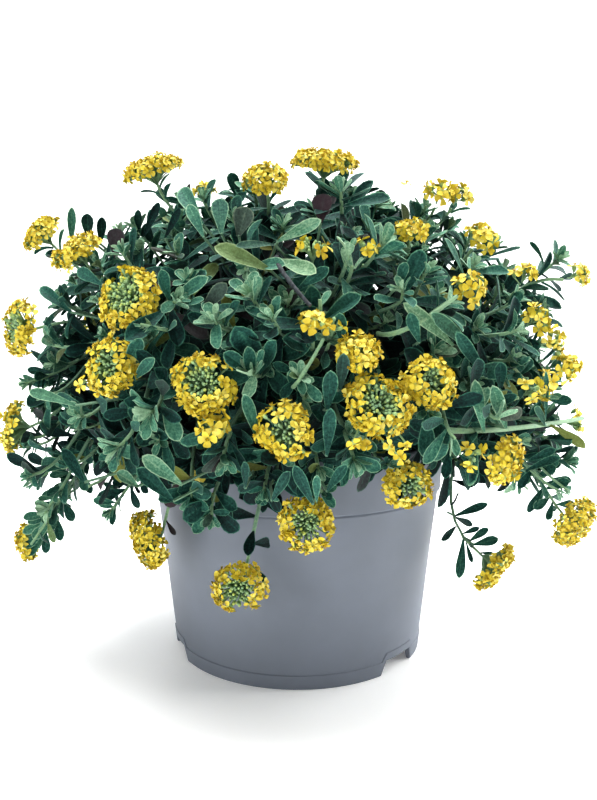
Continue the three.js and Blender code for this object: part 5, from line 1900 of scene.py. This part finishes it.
# Leaves that stand out: the foot, the tip, the width, the tone and the blush
CHOSEN_LEAVES = [
    (-8, -93, 162, -27, -92, 170, 6.1, 0.62, -0.6), (-7, -90, 166, 6, -103, 161, 5.6, 0.74, -0.25),
    (-20, -80, 174, -17, -80, 184, 7.4, 0.6, 0.75), (-7, -84, 172, 8, -87, 179, 4.6, 0.74, 0),
    (8, -76, 179, 9, -75, 189, 7.5, 0.1, 1), (-26, -77, 175, -27, -71, 188, 6.2, 0.5, 0.15),
    (-32, -76, 174, -38, -70, 186, 4.5, 0.55, 0), (-33, -69, 179, -43, -52, 194, 6.2, 0.5, 0),
    (-31, -97, 149, -22, -102, 158, 5.0, 0.5, 0.7), (-42, -92, 151, -28, -99, 160, 5.1, 0.48, 0),
    (-37, -94, 151, -29, -104, 153, 2.8, 0.5, 0), (9, -113, 119, 10, -117, 132, 5.1, 0.3, 0),
    (9, -114, 105, 10, -120, 121, 4.2, 0.28, 0), (14, -106, 139, 13, -109, 149, 4.3, 0.3, 0),
    (13, -111, 125, 14, -115, 137, 4.2, 0.35, 0.3), (-14, -110, 127, -15, -114, 139, 4.5, 0.45, 0),
    (-12, -114, 110, -16, -118, 125, 4.2, 0.5, 0), (-16, -114, 95, -16, -121, 105, 3.3, 0.25, 0),
    (-8, -114, 91, -2, -121, 102, 3.9, 0.28, 0), (5, -114, 90, -1, -121, 104, 3.9, 0.28, 0),
    (9, -114, 94, 15, -121, 104, 3.6, 0.3, 0), (6, -114, 91, 6, -121, 101, 2.7, 0.45, 0),
    (-3, -115, 106, -11, -121, 105, 5.9, 0.08, 0), (51, -94, 138, 33, -103, 152, 4.8, 0.74, -0.2),
    (58, -91, 136, 42, -102, 149, 4.7, 0.45, -0.1), (63, -91, 127, 50, -102, 143, 4.4, 0.3, 0),
    (61, -97, 110, 56, -104, 128, 4.4, 0.66, 0), (70, -90, 110, 62, -102, 126, 4.8, 0.62, 0),
    (68, -89, 123, 66, -96, 133, 4.2, 0.22, 0), (89, -71, 108, 80, -92, 118, 4.3, 0.45, 0),
    (89, -71, 110, 85, -82, 129, 2.0, 0.45, 0), (-56, -60, 175, -50, -59, 188, 3.3, 0.08, 0),
    (-47, -68, 174, -41, -69, 185, 2.8, 0.08, 0), (-84, -28, 177, -83, -32, 187, 5.1, 0.2, 0),
    (-90, -31, 174, -88, -36, 189, 3.5, 0.48, 0), (-80, -25, 175, -78, -29, 186, 4.0, 0.15, 0),
    (-66, -60, 168, -66, -58, 179, 6.6, 0.15, 0.85), (-86, -48, 148, -101, -38, 158, 4.8, 0.35, 0),
    (-69, -68, 158, -80, -61, 164, 4.7, 0.35, 0), (-56, -95, 131, -49, -103, 141, 5.0, 0.42, 0),
    (-53, -97, 127, -44, -108, 135, 4.0, 0.45, 0), (-75, -85, 117, -95, -74, 121, 4.2, 0.55, -0.1),
    (-36, -109, 95, -48, -112, 105, 5.2, 0.74, 0), (-51, -103, 93, -57, -108, 99, 4.1, 0.74, 0),
    (-39, -107, 89, -50, -111, 101, 5.0, 0.3, 0), (-72, -89, 91, -78, -94, 104, 4.6, 0.25, 0),
    (-7, -86, 171, -20, -94, 170, 2.9, 0.5, 0.4), (0, -98, 156, 10, -101, 163, 4.1, 0.3, 0),
    (33, -92, 157, 35, -94, 165, 3.9, 0.42, 0), (39, -100, 139, 35, -104, 149, 4.1, 0.38, 0),
    (-90, -15, 84, -93, -20, 94, 5.1, 0.35, 0), (-93, -15, 80, -99, -22, 88, 5.1, 0.4, 0),
    (-95, -15, 76, -104, -22, 81, 4.7, 0.42, 0), (-97, -15, 74, -103, -24, 73, 5.1, 0.5, 0),
    (-99, -15, 72, -109, -22, 70, 4.7, 0.5, 0), (-100, -15, 69, -105, -24, 64, 5.1, 0.58, 0),
    (-102, -14, 66, -112, -21, 64, 4.7, 0.45, 0), (-104, -14, 63, -109, -22, 58, 5.1, 0.5, 0),
    (-105, -14, 62, -116, -20, 58, 5.1, 0.5, 0), (-108, -13, 57, -119, -18, 53, 4.8, 0.55, 0),
    (-108, -13, 57, -114, -20, 51, 5.2, 0.6, 0), (-111, -12, 53, -119, -16, 46, 4.8, 0.5, 0),
    (-112, -11, 50, -118, -16, 42, 4.4, 0.55, 0), (-102, -14, 67, -98, -14, 57, 4.4, 0.3, 0),
    (-106, -13, 60, -104, -13, 48, 4.4, 0.35, 0), (-111, -12, 53, -111, -12, 42, 4.0, 0.35, 0),
    (-94, -15, 78, -89, -16, 70, 3.9, 0.3, 0), (86, -60, 93, 96, -62, 98, 3.3, 0.3, 0),
    (85, -60, 89, 98, -62, 95, 3.3, 0.3, 0), (106, -20, 73, 114, -26, 78, 4.6, 0.42, 0),
    (102, -20, 78, 108, -26, 84, 4.6, 0.4, 0), (105, -20, 74, 98, -22, 63, 3.4, 0.3, 0),
    (108, -19, 69, 100, -24, 65, 4.2, 0.45, 0), (100, -21, 82, 93, -24, 74, 3.8, 0.3, 0),
    (72, -17, 51, 70, -19, 33, 4.3, 0.4, 0), (75, -22, 49, 85, -26, 53, 4.2, 0.45, 0),
    (74, -20, 50, 81, -25, 57, 3.8, 0.45, 0), (69, -9, 58, 83, -14, 65, 3.9, 0.35, 0),
]
# Shoots that stand out: the tip, and a point that the shoot's last stretch comes from
CHOSEN_SHOOTS = [
    (-15, -104, 155, -11, -102, 147), (-8, -112, 148, -4, -109, 139), (7, -106, 153, 8, -106, 141),
    (-46, -110, 118, -38, -107, 117), (-23, -110, 103, -24, -104, 109), (18, -113, 103, 15, -108, 108),
    (-11, -98, 90, -10, -92, 96), (-29, -90, 79, -32, -84, 90), (7, -106, 99, 5, -100, 103),
    (49, -110, 110, 43, -106, 112), (65, -101, 115, 59, -98, 111), (76, -82, 143, 67, -84, 138),
    (-50, -99, 145, -29, -103, 139), (-112, -30, 119, -84, -24, 124), (-58, -106, 106, -45, -105, 109),
    (-71, -62, 73, -60, -56, 82), (52, -92, 154, 34, -100, 142), (33, -96, 157, 40, -93, 146),
    (-26, -104, 147, -24, -102, 139), (17, -94, 169, 15, -95, 158), (29, -88, 172, 24, -90, 163),
    (43, -90, 163, 37, -92, 153), (-14, -112, 131, -11, -108, 123), (1, -113, 130, 0, -109, 123),
    (-37, -100, 153, -48, -91, 147), (95, -50, 117, 97, -44, 105), (-93, -40, 153, -89, -34, 146),
    (105, -30, 170, 102, -24, 163), (-63, -65, 171, -60, -68, 162), (15, -69, 191, 16, -76, 178),
    (-17, -91, 163, -12, -82, 166), (41, -108, 119, 39, -104, 112), (-112, -28, 51, -93, -26, 69),
    (-36, -91, 86, -36, -86, 94), (-104, -34, 66, -88, -30, 78),
]


@dataclass(frozen=True)
class BareStem:
    """A stem that shows between the leaves, nearly straight."""

    start: Triple
    end: Triple
    radius: float
    woody: bool = False
    sag: float = 1.5

    def corners(self) -> Array:
        """The corners of its curve, which sags in the middle and whose start turns in towards the pot's axis.

        Returns:
            The corners, of shape (1, 4, 3).
        """
        a, b = np.array(self.start, dtype=float), np.array(self.end, dtype=float)
        inside = a - 14 * unit(a * [1, 1, 0])
        return np.stack([inside, a - [0, 0, self.sag], (a + b) / 2 - [0, 0, self.sag], b])[None]

    def skin(self, seed: int) -> Sleeves:
        """A tube with slight knots along its curve.

        Args:
            seed: the seed of its knots.

        Returns:
            Its skin.
        """
        rng = np.random.default_rng(500 + seed)
        stations, sides = 18, 8
        radius = self.radius * np.linspace(1.1, 0.85, stations) * (1 + 0.08 * rng.normal(0, 1, stations).clip(-1, 1))
        path = bezier(self.corners(), np.linspace(0, 1, stations)[None])
        return tubes(path, radius[None], sides, {"tone": np.full(stations * sides + 2, 0.42)})


BARE_STEMS = [
    BareStem((-8, -97, 167), (4, -108, 151), 0.8, woody=True),
    BareStem((-2, -118, 126), (8, -112, 141), 0.62),
    BareStem((48, -110, 112), (119, -24, 104), 1.0),
    BareStem((30, -108, 142), (52, -92, 154), 0.8),
]
# Smaller heads that grow beside another: its name, direction in its face, radius and distance from its centre
PARTNERS = [
    ("right_chain", -58, 7.6, 12.0),
    ("right_chain", -72, 6.8, 22.0),
    ("top_right", 10, 7.2, 10.7),
    ("behind_leaves", 5, 5.5, 7.0),
    ("back_right", -70, 7.5, 13.0),
    ("back_high", 175, 7, 12.0),
    ("back_middle", 15, 7.5, 13.0),
    ("back_left", -120, 7, 12.5),
]
PARTNER_TILT = 14.0


def partner(main: Head, direction: float, radius: float, distance: float, seed: int) -> Head:
    """A smaller head beside a main one.

    Args:
        main: the head that it grows into.
        direction: where it lies in the main one's face, in degrees from the right.
        radius: its radius.
        distance: how far its centre lies from the main one's.
        seed: the seed of its disorder.

    Returns:
        The smaller head.
    """
    right, up = cross_axes(main.axis)
    away = turned(radians(direction), right, up)
    centre = main.centre + distance * away - main.axis
    axis = unit(turned(radians(PARTNER_TILT), main.axis, away))
    return Head(main.name, centre, radius, axis, main.habit, seed)


def all_heads() -> list[Head]:
    """Every head of the plant, the main ones and their partners.

    Returns:
        The heads.
    """
    mains = [Head(name, np.array([x, y, z], dtype=float), radius, facing(azimuth, elevation), habit, 1000 + i,
                  SATELLITES.get(name, ()), STEM_WAYS.get(name))
             for i, (name, x, y, z, radius, azimuth, elevation, habit) in enumerate(BLOOMS)]
    named = {head.name: head for head in mains}
    return mains + [partner(named[name], direction, radius, distance, 2000 + i)
                    for i, (name, direction, radius, distance) in enumerate(PARTNERS)]


@dataclass
class LoneFloret:
    """A single floret on its own stalk."""

    name: str
    place: Triple
    azimuth: float
    elevation: float

    def build(self, petal: Material, seed: int) -> None:
        """Builds the floret's four broad petals and its stamens.

        Args:
            petal: the petals' finish.
            seed: the seed of its disorder.
        """
        rng = np.random.default_rng(seed)
        axis = facing(self.azimuth, self.elevation)[None]
        out = cross_axes(axis[0])[0][None]
        floret = Florets(np.array([self.place], dtype=float), axis, out, np.array([1.15]), np.array([0.7]))
        heap = Heap(PETAL_TRAITS)
        heap.add(floret.petals(rng).sleeves(PETAL))
        heap.add(floret.stamens(rng))
        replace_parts(heap.piece(f"petals_{self.name}", petal, "petals"), self.name)


LONE_FLORETS = [
    LoneFloret("floret_top_right", (41, -45, 197), 20, 60),
    LoneFloret("floret_rim_left", (-34, -86, 93), -12, 4),
]


# Studio

@dataclass(frozen=True)
class Studio:
    """A roll of pale paper, soft lights round the plant and on the paper behind it, and a camera in front.

    All its lengths are in metres. Each light is (name, place, the point it looks at, side, power in watts).
    """

    camera_place: Triple = (0.0004, -0.357, 0.152)
    pitch_down: float = 6.9
    lens: float = 36.27
    paper_half_width: float = 3.5
    paper_front: float = -3.0
    paper_top: float = 3.5
    bend_start: float = 1.2
    bend_radius: float = 0.8
    lights: tuple[tuple, ...] = (
        ("key", (0.5, -1.3, 1.3), (0.0, 0.0, 0.12), 0.9, 0.5),
        ("right", (1.25, 0.4, 0.5), (0.0, 0.0, 0.08), 1.2, 32.0),
        ("left", (-0.9, -1.1, 0.3), (0.0, 0.0, 0.08), 0.9, 11.0),
        ("top", (0.0, 0.15, 1.7), (0.0, 0.0, 0.1), 1.4, 64.0),
        ("backdrop_left", (-1.3, 0.7, 1.9), (-0.2, 2.0, 0.7), 1.2, 16.0),
        ("backdrop_right", (1.3, 0.7, 1.9), (0.2, 2.0, 0.7), 1.2, 12.0))
    glow: float = 0.12
    glow_colour: str = "#f3f6fa"

    def camera(self) -> None:
        """Sets the camera."""
        data = bpy.data.cameras.new("camera")
        data.lens = self.lens
        data.sensor_width = 36.0
        data.clip_start = 0.01
        camera = bpy.data.objects.new("camera", data)
        camera.location = self.camera_place
        camera.rotation_euler = (radians(90 - self.pitch_down), 0.0, 0.0)
        bpy.context.scene.collection.objects.link(camera)
        bpy.context.scene.camera = camera

    def paper(self, finish: Material) -> None:
        """Lays the paper: flat under the pot, up behind it in a quarter circle, and then straight.

        Args:
            finish: the paper's finish.
        """
        bend = np.linspace(0, np.pi / 2, 16)
        y = self.bend_start + self.bend_radius * np.sin(bend)
        y = np.concatenate([[self.paper_front, -1.0], y, [self.bend_start + self.bend_radius]])
        z = np.concatenate([[0.0, 0.0], self.bend_radius * (1 - np.cos(bend)), [self.paper_top]])
        x = np.array([-self.paper_half_width, self.paper_half_width])
        points = [(float(px), float(py), float(pz)) for py, pz in zip(y, z) for px in x]
        faces = [(2 * k, 2 * k + 1, 2 * k + 3, 2 * k + 2) for k in range(len(y) - 1)]
        mesh = bpy.data.meshes.new("paper")
        mesh.from_pydata(points, [], faces)
        mesh.polygons.foreach_set("use_smooth", np.ones(len(faces), dtype=bool))
        mesh.materials.append(finish)
        paper = bpy.data.objects.new("paper", mesh)
        bpy.context.scene.collection.objects.link(paper)

    def light(self, name: str, place: Triple, aim: Triple, size: float,
              power: float) -> None:
        """Hangs a square soft light.

        Args:
            name: the light's name.
            place: where it hangs, in metres.
            aim: the point it looks at.
            size: its side in metres.
            power: its power in watts.
        """
        data = bpy.data.lights.new(name, "AREA")
        data.size = size
        data.energy = power
        light = bpy.data.objects.new(name, data)
        light.location = place
        light.rotation_euler = (Vector(aim) - Vector(place)).to_track_quat("-Z", "Y").to_euler()
        bpy.context.scene.collection.objects.link(light)

    def build(self, finish: Material) -> None:
        """Sets up the camera, the paper, the lights and the even glow of the room.

        Args:
            finish: the paper's finish.
        """
        self.camera()
        self.paper(finish)
        for light in self.lights:
            self.light(*light)
        world = bpy.data.worlds.new("room")
        world.use_nodes = True
        world.node_tree.nodes.clear()
        glow = put(world.node_tree, "ShaderNodeBackground", {}, {"Color": self.glow_colour, "Strength": self.glow})
        put(world.node_tree, "ShaderNodeOutputWorld", {}, {"Surface": glow.outputs[0]})
        bpy.context.scene.world = world
        bpy.context.scene.view_settings.view_transform = "Standard"
        bpy.context.scene.view_settings.look = "Medium High Contrast"


def main() -> None:
    """Builds the studio, the pot, the soil and the plant, and writes the sizes down."""
    logging.basicConfig(level=logging.INFO, format="%(message)s", stream=sys.stdout)
    Studio().build(StudioPaper().material())
    pot = Pot()
    pot.build(MouldedPolypropylene().material())
    Soil().build(pot, PottingPeat().material())
    petal = YellowPetal().material()
    plant = Plant(Mound(), pot, BRANCHES, UPRIGHTS, all_heads())
    plant.build(FeltedLeaf().material(), YoungStem().material(), Bark().material(), petal)
    for seed, floret in enumerate(LONE_FLORETS):
        floret.build(petal, 3000 + seed)
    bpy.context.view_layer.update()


if __name__ == "__main__":
    main()
